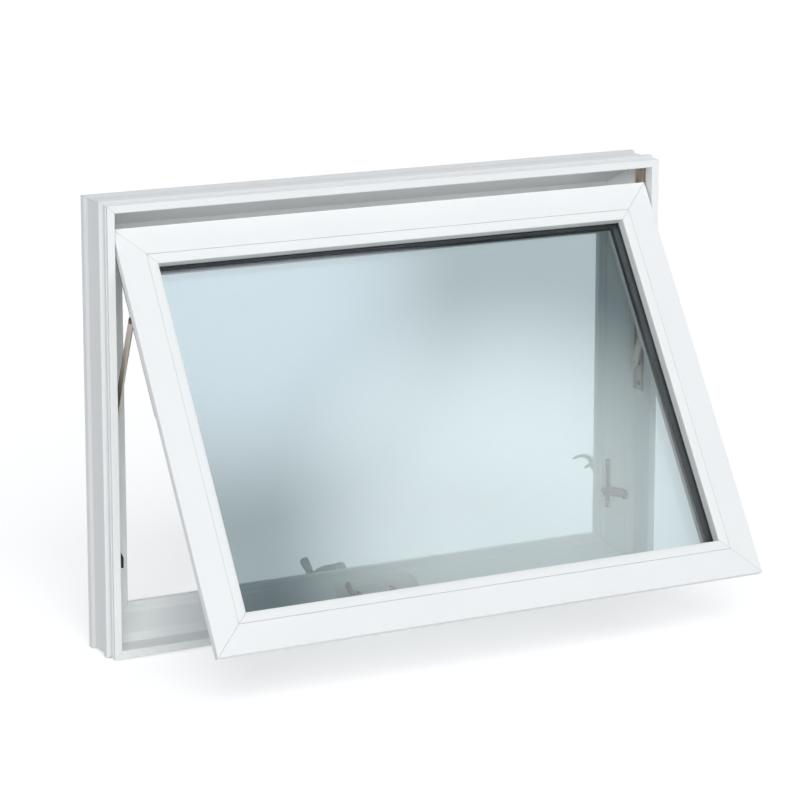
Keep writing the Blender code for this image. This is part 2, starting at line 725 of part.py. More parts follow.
def gear_outline(middle_x, turn):
    """Straight-sided teeth round a hub gear's rim."""
    points = []
    for tooth in range(GEAR_TEETH):
        for share, radius in ((-0.30, GEAR_ROOT), (-0.13, GEAR_TIP), (0.13, GEAR_TIP), (0.30, GEAR_ROOT)):
            angle = 2 * math.pi * (tooth + share) / GEAR_TEETH + turn
            x = middle_x + radius * math.cos(angle)
            points.append((x, OPERATOR_DEPTH + radius * math.sin(angle)))
    return points


def make_housing():
    """The steel tray in the sill's pocket, with the gears' studs and the cradle's two ears."""
    half, front, rear = POCKET_HALF - 0.002, POCKET_FRONT + 0.0015, POCKET_REAR - 0.0010
    floor, rim, thick = POCKET_FLOOR + CLEARANCE, DRIVE_LOW - 0.0028, 0.0013
    corner = POCKET_CORNER - 0.002
    outline = rounded(-half, half, front, rear, corner)
    housing = add("operator_housing", plate_z([outline], floor, rim), "zinc_steel")
    hollow = rounded(-half + thick, half - thick, front + thick, rear - thick, corner - thick)
    combine(housing, plate_z([hollow], floor + thick, rim + 0.001), "DIFFERENCE")
    for side in (-1, 1):
        hub = at(side * GEAR_SPACING, OPERATOR_DEPTH, 0)
        up = Vector((0, 0, 1))
        base = Vector((0, 0, floor + thick - 0.0004))
        shoulder = GEAR_LOW - CLEARANCE - (floor + thick - 0.0004)
        tip = GEAR_LOW + GEAR_THICKNESS + 0.0005 - (floor + thick - 0.0004)
        profile = [(0, 0), (0.0045, 0), (0.0045, shoulder), (GEAR_STUD, shoulder), (GEAR_STUD, tip), (0, tip)]
        combine(housing, turned(profile, hub + base, up, 12), "UNION")
        inner = HUB_RADIUS + GEAR_SPACING + 0.0012
        leg = OPERATOR_DEPTH + GEAR_TIP + CLEARANCE
        ear = [
            (OPERATOR_DEPTH - 0.0035, TILT_HEIGHT + 0.0004),
            (OPERATOR_DEPTH - 0.0008, DRIVE_LOW + STRAP + 0.0002),
            (leg, DRIVE_LOW + STRAP + 0.0002),
            (leg, floor + 0.0005),
            (rear - 0.0035, floor + 0.0005),
            (rear - 0.0035, LINK_LOW + STRAP + 0.0012),
            (OPERATOR_DEPTH - 0.0035, LINK_LOW + STRAP + 0.0012),
        ]
        hole = circle(OPERATOR_DEPTH, TILT_HEIGHT, TILT_PIN + CLEARANCE, 10)
        combine(housing, plate_x([ear, hole], side * inner, side * (inner + 0.0024)), "UNION")
    clearance = rod(WORM_RADIUS + 0.0008, shaft_point(-0.012), shaft_point(0.060))
    combine(housing, clearance, "DIFFERENCE")


def make_gears():
    low, high = GEAR_LOW, GEAR_LOW + GEAR_THICKNESS
    for side, name, turn in ((-1, "left", 0.0), (1, "right", math.pi / GEAR_TEETH)):
        middle = side * GEAR_SPACING
        bore = circle(middle, OPERATOR_DEPTH, GEAR_STUD + CLEARANCE, 12)
        loops = [gear_outline(middle, turn), bore]
        add(f"hub_gear_{name}", plate_z(loops, low, high), "zinc_steel")


def make_cradle(pivot):
    """The bridge that both drive arms turn on. Its two pins let the arms tip as the sash rises."""
    reach = HUB_RADIUS + GEAR_SPACING
    outline = rounded(-reach, reach, OPERATOR_DEPTH - 0.0075, OPERATOR_DEPTH + 0.0078, 0.0070)
    low, high = DRIVE_LOW + STRAP + CLEARANCE * 2, LINK_LOW + STRAP
    cradle = add("operator_cradle", plate_z([outline], low, high), "zinc_steel", pivot)
    for side in (-1, 1):
        middle = side * GEAR_SPACING
        stud = rod(
            ARM_STUD,
            at(middle, OPERATOR_DEPTH, DRIVE_LOW - 0.0006),
            at(middle, OPERATOR_DEPTH, low + 0.0006),
            12,
        )
        combine(cradle, stud, "UNION", pivot)
        pin = rod(
            TILT_PIN,
            at(side * (reach - 0.004), OPERATOR_DEPTH, TILT_HEIGHT),
            at(side * (reach + 0.0034), OPERATOR_DEPTH, TILT_HEIGHT),
            10,
        )
        combine(cradle, pin, "UNION", pivot)


def elbow_place(side):
    """Where a drive arm meets its link with the sash closed."""
    x = side * (GEAR_SPACING + STRAP_LENGTH * math.sin(CLOSED_SPREAD))
    return x, OPERATOR_DEPTH - STRAP_LENGTH * math.cos(CLOSED_SPREAD)


def make_drive_arm(side, name, pivot):
    hub = (side * GEAR_SPACING, OPERATOR_DEPTH)
    elbow = elbow_place(side)
    knee = (side * (GEAR_SPACING + 0.0130), elbow[1] + 0.0005)
    loops = [strap([hub, knee, elbow], STRAP_WIDTH), circle(*elbow, RIVET_RADIUS + CLEARANCE / 2, 12)]
    arm = add(f"drive_arm_{name}", plate_z(loops, DRIVE_LOW, DRIVE_LOW + STRAP), "zinc_steel", pivot)
    boss = plate_z([circle(*hub, HUB_RADIUS - 0.0008, 20)], DRIVE_LOW, DRIVE_LOW + STRAP)
    combine(arm, boss, "UNION", pivot)
    bore = rod(ARM_STUD + CLEARANCE, at(*hub, DRIVE_LOW - 0.002), at(*hub, DRIVE_LOW + 0.006), 12)
    combine(arm, bore, "DIFFERENCE", pivot)
    low = DRIVE_LOW - CLEARANCE
    span = LINK_LOW + STRAP + CLEARANCE - low
    profile = [
        (0, -0.0010),
        (RIVET_HEAD, -0.0010),
        (RIVET_HEAD, 0),
        (RIVET_RADIUS, 0),
        (RIVET_RADIUS, span),
        (RIVET_HEAD, span),
        (RIVET_HEAD - 0.0010, span + 0.0012),
        (0, span + 0.0012),
    ]
    rivet = turned(profile, at(*elbow, low), Vector((0, 0, 1)), 12)
    add(f"elbow_rivet_{name}", rivet, "zinc_steel", pivot, smooth=True)


def make_link(side, name, pivot):
    """The outer arm, from the elbow back to the pin on the sash. Its pin hole is the loop's loose end."""
    elbow, pin = elbow_place(side), (side * GEAR_SPACING, PIN_DEPTH)
    loops = [
        strap([elbow, pin], STRAP_WIDTH),
        circle(*elbow, RIVET_RADIUS + CLEARANCE, 12),
        circle(*pin, LINK_HOLE, 14),
    ]
    add(f"link_arm_{name}", plate_z(loops, LINK_LOW, LINK_LOW + STRAP), "zinc_steel", pivot)


def make_sash_bracket(pivot):
    """The plate under the bottom rail, with the pin that each link arm pulls on."""
    top = SASH_SIDE - CLEARANCE
    half = GEAR_SPACING + 0.013
    outline = rounded(-half, half, PIN_DEPTH - 0.006, PIN_DEPTH + 0.008, 0.003, 2)
    bracket = add("sash_bracket", plate_z([outline], top - 0.0022, top), "zinc_steel", pivot)
    for side in (-1, 1):
        middle = side * GEAR_SPACING
        low = at(middle, PIN_DEPTH, LINK_LOW + CLEARANCE)
        stud = rod(LINK_PIN, low, at(middle, PIN_DEPTH, top - 0.001), 12)
        combine(bracket, stud, "UNION", pivot)


def make_cover():
    """The cover on the room side of the sill, with the sloped boss that the shaft comes out of."""
    back, front = FRAME_DEPTH + CLEARANCE, FRAME_DEPTH + COVER_THICKNESS
    left, right, low, high = WORM_X - COVER_LEFT, WORM_X + COVER_RIGHT, COVER_LOW, COVER_HIGH
    thick, corner = 0.0015, 0.0080
    outline = rounded(left, right, low, high, corner)
    cover = add("operator_cover", plate_y([outline], back, front), "lever_paint")
    shell = rounded(left + thick, right - thick, low + thick, high - thick, corner - thick)
    combine(cover, plate_y([shell], back - 0.002, front - thick), "DIFFERENCE")
    boss_end = CRANK_AT - 0.0052
    boss = turned(
        [(0, 0.030), (0.0105, 0.030), (0.0095, boss_end - 0.001), (0.0085, boss_end), (0, boss_end)],
        shaft_point(0),
        SHAFT_LINE,
        20,
    )
    combine(cover, boss, "UNION")
    combine(cover, rod(SHAFT_RADIUS + 0.0026, shaft_point(0.02), shaft_point(0.07)), "DIFFERENCE")
    trim = block(left - 0.01, right + 0.01, 0.030, back, -0.002, 0.070)
    combine(cover, trim, "DIFFERENCE")


def along_shaft(x, y, z):
    """Crank coordinates: x towards the knob, y across, z along the shaft from the crank's middle."""
    across = SHAFT_LINE.cross(Vector((-1, 0, 0)))
    return shaft_point(CRANK_AT) + Vector((-1, 0, 0)) * x + across * y + SHAFT_LINE * z


def make_worm_shaft(pivot):
    """The shaft with one thread round it. Its radius rises and falls along a helix."""
    rings = []
    steps, count, start, end = 22, 14, -0.0075, 0.0085

    def ring_at(along, radius_at):
        points = []
        for i in range(count):
            turn = 2 * math.pi * i / count
            radius = radius_at(turn)
            across = SHAFT_LINE.cross(Vector((-1, 0, 0)))
            spoke = Vector((-1, 0, 0)) * math.cos(turn) + across * math.sin(turn)
            points.append(shaft_point(along) + spoke * radius)
        return points

    rings.append(ring_at(start - 0.001, lambda turn: SHAFT_RADIUS - 0.0004))
    for step in range(steps + 1):
        along = start + (end - start) * step / steps

        def thread(turn, along=along):
            phase = 2 * math.pi * along / WORM_PITCH - turn
            return SHAFT_RADIUS + (WORM_RADIUS - SHAFT_RADIUS) * (0.5 + 0.5 * math.cos(phase))

        rings.append(ring_at(along, thread))
    rings.append(ring_at(end + 0.001, lambda turn: SHAFT_RADIUS))
    rings.append(ring_at(CRANK_AT + 0.0045, lambda turn: SHAFT_RADIUS))
    add("worm_shaft", loft(rings), "zinc_steel", pivot)


def make_crank(pivot):
    """Hub, arched arm and knob pin in one casting."""
    bore, depth = SHAFT_RADIUS + CLEARANCE, 0.0050
    hub = turned(
        [
            (bore, -0.0048),
            (HUB_SOCKET, -0.0048),
            (HUB_SOCKET, 0.0030),
            (HUB_SOCKET - 0.0012, 0.0062),
            (HUB_SOCKET - 0.0040, 0.0084),
            (0, 0.0094),
            (0, depth),
            (bore, depth),
        ],
        along_shaft(0, 0, 0),
        SHAFT_LINE,
        20,
    )
    handle = add("crank_handle", hub, "lever_paint", pivot, smooth=True)
    rings = []
    stations = 9
    for i in range(stations):
        share = i / (stations - 1)
        reach = 0.0052 + (CRANK_REACH - 0.0032) * share
        rise = 0.0028 + 0.0030 * math.sin(math.pi * share) - 0.0085 * share * share
        half_width, half_thick = 0.0062 - 0.0016 * share, 0.0030 - 0.0006 * share
        ring_points = []
        for k in range(10):
            turn = 2 * math.pi * k / 10
            across, up = half_width * math.cos(turn), half_thick * math.sin(turn)
            ring_points.append(along_shaft(reach, across, rise + up))
        rings.append(ring_points)
    combine(handle, loft(rings), "UNION", pivot)
    pin = rod(KNOB_PIN, along_shaft(CRANK_REACH, 0, -0.0050), along_shaft(CRANK_REACH, 0, 0.016), 12)
    combine(handle, pin, "UNION", pivot)
    hole_radius = SET_SCREW + CLEARANCE
    screw_hole = rod(hole_radius, along_shaft(0, 0.0030, -0.001), along_shaft(0, 0.0120, -0.001), 12)
    combine(handle, screw_hole, "DIFFERENCE", pivot)
    screw = rod(SET_SCREW, along_shaft(0, 0.0038, -0.001), along_shaft(0, 0.0078, -0.001), 10)
    add("crank_set_screw", screw, "zinc_steel", pivot)


def make_knob(pivot):
    foot = 0.0018
    bore = KNOB_PIN + CLEARANCE
    profile = [
        (bore, foot),
        (0.0046, foot),
        (0.0052, foot + 0.0020),
        (0.0062, foot + KNOB_LENGTH - 0.0040),
        (0.0058, foot + KNOB_LENGTH - 0.0012),
        (0.0040, foot + KNOB_LENGTH),
        (0, foot + KNOB_LENGTH),
        (0, 0.0170),
        (bore, 0.0170),
    ]
    knob = turned(profile, along_shaft(CRANK_REACH, 0, 0), SHAFT_LINE, 18)
    add("crank_knob", knob, "lever_paint", pivot, smooth=True)


def make_operator(sash):
    make_housing()
    make_gears()
    make_cover()
    tilt = Pivot("cradle_axis", at(0, OPERATOR_DEPTH, TILT_HEIGHT), turn=(-TILT_ANGLE, 0, 0))
    make_cradle(tilt)
    for side, name in ((-1, "left"), (1, "right")):
        opening = -side * SPREAD_CHANGE
        hub = at(side * GEAR_SPACING, OPERATOR_DEPTH, TILT_HEIGHT)
        drive = Pivot(f"drive_arm_{name}_axis", hub, tilt, (0, 0, opening))
        make_drive_arm(side, name, drive)
        elbow = at(*elbow_place(side), TILT_HEIGHT)
        link = Pivot(f"link_arm_{name}_axis", elbow, drive, (0, 0, -2 * opening))
        make_link(side, name, link)
    make_sash_bracket(sash)
    crank = Pivot("crank_axis", shaft_point(CRANK_AT))
    make_worm_shaft(crank)
    make_crank(crank)
    make_knob(Pivot("knob_axis", along_shaft(CRANK_REACH, 0, 0), crank))


# ---------------------------------------------------------------- lock


def on_slope(share, proud):
    """(inset, depth) of a point this share along the frame's slope, standing this far proud of it."""
    run = Vector((SLOPE_INSET - RIDGE_INSET, FLANGE_FRONT - RIDGE_DEPTH))
    normal = Vector((run.y, -run.x)).normalized()
    point = Vector((RIDGE_INSET, RIDGE_DEPTH)) + run * share + normal * proud
    return point.x, point.y


def jamb_prism(loop, height0, height1):
    """A length of a section in (inset, depth) that stands on the right jamb."""
    return prism(
        [loop],
        lambda inset, depth: at(hinge_x(1, inset), depth, height0),
        lambda inset, depth: at(hinge_x(1, inset), depth, height1),
    )


def lock_slot(front, rear):
    """The cut that the hook's lug slides in, through the jamb's flange."""
    near, far = hinge_x(1, LUG_INSET[1] + 0.0008), hinge_x(1, LUG_INSET[0] - 0.0008)
    low = LOCK_HEIGHT - HOOK_DROP - LUG_HEIGHT / 2 - LUG_ROOM
    high = LOCK_HEIGHT - HOOK_DROP + LUG_HEIGHT / 2 + LUG_ROOM + LOCK_TRAVEL
    return block(near, far, front, rear, low, high)


def make_lock_case():
    low, high = LOCK_HEIGHT - LOCK_LENGTH / 2, LOCK_HEIGHT + LOCK_LENGTH / 2
    near, far = CASE_SPAN
    section = [
        on_slope(near, CLEARANCE),
        on_slope(far, CLEARANCE),
        on_slope(far, CASE_THICKNESS),
        on_slope(near, CASE_THICKNESS),
    ]
    add("lock_case", jamb_prism(section, low, high), "zinc_steel")
    for number, height in ((1, low + 0.006), (2, high - 0.006)):
        inset, depth = on_slope((near + far) / 2, CASE_THICKNESS + CLEARANCE)
        ahead = on_slope((near + far) / 2, 0.0100)
        origin = at(hinge_x(1, inset), depth, height)
        outward = (at(hinge_x(1, ahead[0]), ahead[1], height) - origin).normalized()
        profile = [(0, 0), (0.0034, 0), (0.0028, 0.0012), (0, 0.0016)]
        add(f"lock_screw_{number}", turned(profile, origin, outward, 12), "brass_screw", smooth=True)


def make_lock_hook(pivot):
    """The sliding hook: a bent plate over the case, its nose towards the sash, its lug towards the room."""
    middle = LOCK_HEIGHT - HOOK_DROP
    nose = [
        (0.0215, 0.0360),
        (0.0272, 0.0360),
        (0.0272, 0.0385),
        (0.0235, 0.0385),
        (0.0235, 0.0497),
        on_slope(0.62, 0.0026),
        on_slope(0.62, 0.0050),
        on_slope(0.96, 0.0050),
        on_slope(0.96, CASE_THICKNESS + 0.0004),
        on_slope(CASE_SPAN[0] - 0.03, CASE_THICKNESS + 0.0004),
        on_slope(CASE_SPAN[0] - 0.03, 0.0007),
        on_slope(0.06, 0.0007),
        (0.0215, 0.0494),
    ]
    hook = add("lock_hook", jamb_prism(nose, middle - 0.006, middle + 0.006), "zinc_steel", pivot)
    lug_front = on_slope(0.96, 0.0050)[1] - 0.0012
    lug = block(
        hinge_x(1, LUG_INSET[1]),
        hinge_x(1, LUG_INSET[0]),
        lug_front,
        FRAME_DEPTH + 0.0070,
        middle - LUG_HEIGHT / 2,
        middle + LUG_HEIGHT / 2,
    )
    combine(hook, lug, "UNION", pivot)


def make_lock_keeper(pivot):
    """The lug on the stile's side that the hook's nose slides in front of."""
    low = LOCK_HEIGHT + 0.0005
    section = rectangle(0.0242, SASH_SIDE - CLEARANCE, 0.0392, 0.0435)
    keeper = add("lock_keeper", jamb_prism(section, low, low + 0.012), "zinc_steel", pivot)
    foot = rectangle(SASH_SIDE - CLEARANCE - 0.0008, SASH_SIDE - CLEARANCE, 0.0388, 0.0470)
    combine(keeper, jamb_prism(foot, low - 0.004, low + 0.022), "UNION", pivot)


def make_lock_mount():
    """The room-side plate, with a slot for the hook's lug and one ear for the lever's pin."""
    near, far = hinge_x(1, 0.0475), hinge_x(1, 0.0335)
    back = FRAME_DEPTH + CLEARANCE
    low, high = LOCK_HEIGHT - 0.028, LOCK_HEIGHT + 0.034
    plate = plate_y([rounded(near, far, low, high, 0.003, 2)], back, back + 0.0016)
    mount = add("lock_mount", plate, "lever_paint")
    combine(mount, lock_slot(back - 0.002, back + 0.004), "DIFFERENCE")
    depth, height = LEVER_AT
    ear = rounded(back + 0.0008, depth + 0.0050, height - 0.0050, height + 0.0050, 0.0020, 2)
    combine(mount, plate_x([ear], hinge_x(1, 0.0365), hinge_x(1, 0.0345)), "UNION")
    pin = rod(LEVER_PIN, at(hinge_x(1, 0.0355), depth, height), at(hinge_x(1, 0.0462), depth, height), 12)
    combine(mount, pin, "UNION")


def make_lock_lever(pivot):
    """The handle: a hub on the pin, a tapering blade into the room and a short prong under it."""
    depth, height = LEVER_AT
    tip = (depth + LEVER_LENGTH, height - 0.0060)
    blade = [
        (depth + 0.0020, height + 0.0052),
        (depth + 0.0200, height + 0.0060),
        (tip[0] - 0.010, tip[1] + 0.0036),
        (tip[0], tip[1] + 0.0012),
        (tip[0], tip[1] - 0.0012),
        (tip[0] - 0.012, tip[1] - 0.0016),
        (depth + 0.0200, height - 0.0002),
        (depth + 0.0080, height - 0.0060),
        (depth + 0.0160, height - 0.0210),
        (depth + 0.0130, height - 0.0220),
        (depth + 0.0020, height - 0.0100),
        (depth - 0.0030, height - 0.0030),
    ]
    near, far = hinge_x(1, 0.0455), hinge_x(1, 0.0372)
    lever = add("lock_lever", plate_x([blade], near, far), "lever_paint", pivot)
    hub = plate_x([circle(depth, height, 0.0055, 16)], near, far)
    combine(lever, hub, "UNION", pivot)
    bore = rod(LEVER_PIN + CLEARANCE, at(near - 0.005, depth, height), at(far + 0.005, depth, height), 12)
    combine(lever, bore, "DIFFERENCE", pivot)


def make_lock(sash):
    make_lock_case()
    make_lock_mount()
    make_lock_keeper(sash)
    make_lock_hook(Pivot("lock_hook_slide", at(hinge_x(1, SLOPE_INSET), FLANGE_FRONT, LOCK_HEIGHT)))
    make_lock_lever(Pivot("lock_lever_axis", at(hinge_x(1, SLOPE_INSET), *LEVER_AT)))


# ---------------------------------------------------------------- build


def main():
    for old in list(bpy.data.objects):
        bpy.data.objects.remove(old, do_unlink=True)
    make_frame()
    make_left_guide()
    sash = make_hinges()
    make_sash(sash)
    make_operator(sash)
    make_lock(sash)
    bpy.context.view_layer.update()


main()
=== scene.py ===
# %% [markdown]
# # An awning window, half open
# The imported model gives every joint, size and hidden mechanism. This script gives the window its looks:
# extruded vinyl profiles with soft corners and welded mitres, sealed glass, pressed steel hardware and
# painted castings. Each lesson below makes one kind of piece, and says why it is made that way.

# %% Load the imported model
import json
import math

import bmesh
import bpy
import numpy as np
from mathutils import Matrix, Vector


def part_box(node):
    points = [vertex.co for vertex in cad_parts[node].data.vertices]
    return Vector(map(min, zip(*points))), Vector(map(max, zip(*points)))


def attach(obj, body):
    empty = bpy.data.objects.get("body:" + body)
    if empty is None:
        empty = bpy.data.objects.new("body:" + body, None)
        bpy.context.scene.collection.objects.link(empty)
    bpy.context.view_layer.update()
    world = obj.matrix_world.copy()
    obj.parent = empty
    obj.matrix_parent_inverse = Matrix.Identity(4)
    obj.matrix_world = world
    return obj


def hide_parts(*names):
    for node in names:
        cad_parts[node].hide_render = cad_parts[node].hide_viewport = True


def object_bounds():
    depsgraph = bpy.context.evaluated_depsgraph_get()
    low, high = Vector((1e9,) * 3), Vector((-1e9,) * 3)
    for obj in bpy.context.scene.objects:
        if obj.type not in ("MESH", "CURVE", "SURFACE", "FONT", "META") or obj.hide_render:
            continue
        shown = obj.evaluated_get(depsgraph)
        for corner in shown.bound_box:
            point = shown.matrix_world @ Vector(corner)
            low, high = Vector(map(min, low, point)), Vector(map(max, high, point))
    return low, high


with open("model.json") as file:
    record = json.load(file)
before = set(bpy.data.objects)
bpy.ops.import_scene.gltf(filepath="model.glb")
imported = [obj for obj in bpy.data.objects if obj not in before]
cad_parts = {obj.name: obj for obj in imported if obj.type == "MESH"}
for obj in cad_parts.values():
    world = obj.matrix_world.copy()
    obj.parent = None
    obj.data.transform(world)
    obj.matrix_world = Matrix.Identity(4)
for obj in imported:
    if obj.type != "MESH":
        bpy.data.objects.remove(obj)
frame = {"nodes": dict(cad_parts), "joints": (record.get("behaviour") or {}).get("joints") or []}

cad_box = [[float(value) for value in corner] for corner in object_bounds()]
joints = {joint["name"]: joint for joint in frame["joints"]}
print("model box", np.round(cad_box, 4).tolist())

# %% [markdown]
# ## Two places to work in
# The profiles are drawn as a maker draws them: an inset from the outer lip towards the glass, and a
# depth behind the front face. One function carries those to the fixed frame. A second turns them with
# the sash, because the sash is easiest to draw shut and is then swung open about its hinge arms' pivot.

# %% Places in the frame and on the sash
HUMP = 0.003
SEAT_DEPTH = 0.03425
HALF_WIDTH = cad_box[1][0] - HUMP
LIP_HEIGHT = cad_box[1][2] - 2 * HUMP
OPEN_ANGLE = math.radians(32.5)
HINGE_DEPTH = 0.0300
ARM_HEIGHT = 0.4597
SASH_EDGE = 0.0130
SASH_RECESS = 0.0100
swung_pivot = np.array(joints["sash_swing"]["pos_m"])
shut_pivot = np.array([0.0, HINGE_DEPTH - SEAT_DEPTH, ARM_HEIGHT + HUMP])


def in_frame(x, depth, height):
    """World points from x, depth behind the front face and height above the sill's lip."""
    return np.stack(np.broadcast_arrays(x, depth - SEAT_DEPTH, height + HUMP), axis=-1)


def on_sash(x, depth, height):
    """The same, turned about the hinge line: y' = y cos a + z sin a and z' = z cos a - y sin a."""
    arm = in_frame(x, depth, height) - shut_pivot
    cosine, sine = math.cos(OPEN_ANGLE), math.sin(OPEN_ANGLE)
    across, up = arm[..., 1], arm[..., 2]
    turned = np.stack([arm[..., 0], across * cosine + up * sine, up * cosine - across * sine], axis=-1)
    return turned + swung_pivot


print("hinge pivot", shut_pivot.round(4), "to", swung_pivot.round(4))

# %% [markdown]
# ## Colours and nodes
# Hex colours are what a paint chart gives, so one function turns them to the linear values that the
# shaders want. One more adds a node with its settings and its links, and that is all the help needed.

# %% Helpers for materials
def linear(hex_colour):
    """sRGB hex to linear RGBA: ((c + 0.055) / 1.055) ** 2.4, with a straight toe."""
    channels = np.array([int(hex_colour[i:i + 2], 16) / 255 for i in (1, 3, 5)])
    curve = np.where(channels <= 0.04045, channels / 12.92, ((channels + 0.055) / 1.055) ** 2.4)
    return (*curve.tolist(), 1.0)


def node(tree, kind, settings=None, to=None, **inputs):
    """Adds a node. Each input is a value, or an earlier node whose result it takes. The node's own result
    goes to the sockets in to. A mixed colour is the third result of its node, and others are the first."""
    made = tree.nodes.new(kind)
    for name, value in (settings or {}).items():
        setattr(made, name, value)
    sockets = {socket.identifier.replace(" ", "_"): socket for socket in made.inputs}
    for name, value in inputs.items():
        if isinstance(value, bpy.types.Node):
            value = value.outputs[2 if value.type == "MIX" else 0]
        if isinstance(value, bpy.types.NodeSocket):
            tree.links.new(value, sockets[name])
        else:
            sockets[name].default_value = value
    for socket in to or ():
        tree.links.new(made.outputs[2 if made.type == "MIX" else 0], socket)
    return made


def new_finish(name, **values):
    """A material, its tree, its shader's sockets and its object coordinates. The values are set on the
    shader itself."""
    made = bpy.data.materials.new(name)
    made.use_nodes = True
    shader = made.node_tree.nodes["Principled BSDF"]
    sockets = {socket.name.replace(" ", "_"): socket for socket in shader.inputs}
    for socket, value in values.items():
        sockets[socket].default_value = value
    coordinates = made.node_tree.nodes.new("ShaderNodeTexCoord")
    return made, made.node_tree, sockets, coordinates.outputs


print("a hex mid grey is", round(linear("#808080")[0], 3), "in linear light")

# %% [markdown]
# ## Rigid white PVC
# Window vinyl is pushed hot through a steel die. It comes out smooth and a little glossy, with faint
# die lines that run the length of the bar. The pattern follows each bar's own UV map, whose first axis
# is the length: noise squeezed across and stretched along gives streaks about 1.5 mm wide. The real
# lines are finer, and they are drawn this coarse so that they show at all.

# %% Rigid PVC, extruded
STREAK_WIDTH = 0.0015
COLOUR_DRIFT = 0.11
pvc, tree, sockets, where = new_finish(
    "rigid_pvc_extruded", IOR=1.53, Coat_Weight=0.10, Coat_Roughness=0.2)
squeezed = node(tree, "ShaderNodeMapping", Vector=where["UV"], Scale=(4.0, 1 / STREAK_WIDTH, 1.0))
streaks = node(tree, "ShaderNodeTexNoise", Vector=squeezed, Scale=1.0, Detail=2.0)
clouds = node(tree, "ShaderNodeTexNoise", Vector=where["UV"], Scale=1 / COLOUR_DRIFT, Detail=3.0)
node(tree, "ShaderNodeMix", {"data_type": "RGBA"}, [sockets["Base_Color"]], Factor_Float=clouds,
     A_Color=linear("#f3f5f4"), B_Color=linear("#ecefef"))
node(tree, "ShaderNodeMapRange", None, [sockets["Roughness"]], Value=streaks, To_Min=0.30, To_Max=0.42)
node(tree, "ShaderNodeBump", None, [sockets["Normal"]], Height=streaks, Distance=0.00003, Strength=0.35)
print("material", pvc.name)

# %% [markdown]
# ## Float glass
# Float glass is flat, with a slow roller wave a few centimetres long that only its reflections show.
# Two coated panes take nearly half of the light and leave the rest a little blue. The tint is the base
# colour, which light picks up once per pane, and the wave is a very shallow bump. A shadow ray
# stops at solid glass, so the panes let part of each one through, and daylight reaches what is behind.

# %% Float glass, coated
ROLLER_WAVE = 0.05
SMEAR = 0.07
SHADOW_OF_A_PANE = 0.6
glass, tree, sockets, where = new_finish(
    "float_glass_coated", Transmission_Weight=1.0, IOR=1.52, Base_Color=linear("#d6dfe0"))
wave = node(tree, "ShaderNodeTexNoise", Vector=where["Object"], Scale=1 / ROLLER_WAVE, Detail=1.0)
smears = node(tree, "ShaderNodeTexNoise", Vector=where["Object"], Scale=1 / SMEAR, Detail=4.0)
node(tree, "ShaderNodeBump", None, [sockets["Normal"]], Height=wave, Distance=0.00002, Strength=0.2)
node(tree, "ShaderNodeMapRange", None, [sockets["Roughness"]], Value=smears, To_Min=0.0, To_Max=0.012)
shadow_ray = tree.nodes.new("ShaderNodeLightPath").outputs["Is Shadow Ray"]
node(tree, "ShaderNodeMapRange", None, [sockets["Alpha"]], Value=shadow_ray,
     To_Min=1.0, To_Max=SHADOW_OF_A_PANE)
print("material", glass.name)

# %% [markdown]
# ## Rubber, plastic and the spacer bar
# EPDM glazing rubber is matt with a fine bloom. Acetal, which the sliding shoes are moulded in, is
# smoother and slightly waxy. The spacer bar between the panes is a dark warm-edge kind, which leaks less
# heat than bare aluminium, with small holes that let the drying beads inside it breathe. The holes are
# painted near black: painted shade that stands for the dark inside each hole.

# %% EPDM rubber, acetal and spacer
rubber, tree, sockets, where = new_finish("epdm_rubber_extruded", IOR=1.52)
bloom = node(tree, "ShaderNodeTexNoise", Vector=where["Object"], Scale=900.0, Detail=3.0)
node(tree, "ShaderNodeMix", {"data_type": "RGBA"}, [sockets["Base_Color"]], Factor_Float=bloom,
     A_Color=linear("#121315"), B_Color=linear("#24262a"))
node(tree, "ShaderNodeMapRange", None, [sockets["Roughness"]], Value=bloom, To_Min=0.55, To_Max=0.78)
node(tree, "ShaderNodeBump", None, [sockets["Normal"]], Height=bloom, Distance=0.00004, Strength=0.5)

acetal, tree, sockets, where = new_finish("acetal_moulded", IOR=1.48)
grain = node(tree, "ShaderNodeTexNoise", Vector=where["Object"], Scale=1500.0, Detail=2.0)
node(tree, "ShaderNodeMix", {"data_type": "RGBA"}, [sockets["Base_Color"]], Factor_Float=grain,
     A_Color=linear("#141517"), B_Color=linear("#202225"))
node(tree, "ShaderNodeMapRange", None, [sockets["Roughness"]], Value=grain, To_Min=0.38, To_Max=0.5)
node(tree, "ShaderNodeBump", None, [sockets["Normal"]], Height=grain, Distance=0.00002, Strength=0.4)

HOLE_SPACING = 0.004
spacer, tree, sockets, where = new_finish("spacer_bar_warm_edge", IOR=1.5)
holes = node(tree, "ShaderNodeTexVoronoi", Vector=where["Object"], Scale=1 / HOLE_SPACING, Randomness=0.0)
solid_metal = node(tree, "ShaderNodeMapRange", Value=holes, From_Min=0.12, From_Max=0.2)
# The near black at each hole is painted shade for the inside of the hole; the grey between is the bar's
# metal.
node(tree, "ShaderNodeMix", {"data_type": "RGBA"}, [sockets["Base_Color"]], Factor_Float=solid_metal,
     A_Color=linear("#101113"), B_Color=linear("#4a4e52"))
node(tree, "ShaderNodeMapRange", None, [sockets["Roughness"]], Value=solid_metal, To_Min=0.6, To_Max=0.34)
node(tree, "ShaderNodeBump", None, [sockets["Normal"]], Height=solid_metal, Distance=0.0002, Strength=0.6)
print("materials", rubber.name, acetal.name, spacer.name)

# %% [markdown]
# ## The metals
# Hinge strip is cold-rolled stainless, slightly warm in colour, with a rolling grain that runs along
# the strip. The operator and lock are zinc-plated pressings: duller, brownish grey, and mottled where
# the plating crystals are. The hand parts are zinc castings under a grey-green enamel that has a soft
# orange peel. The lock's screws are yellow zinc.

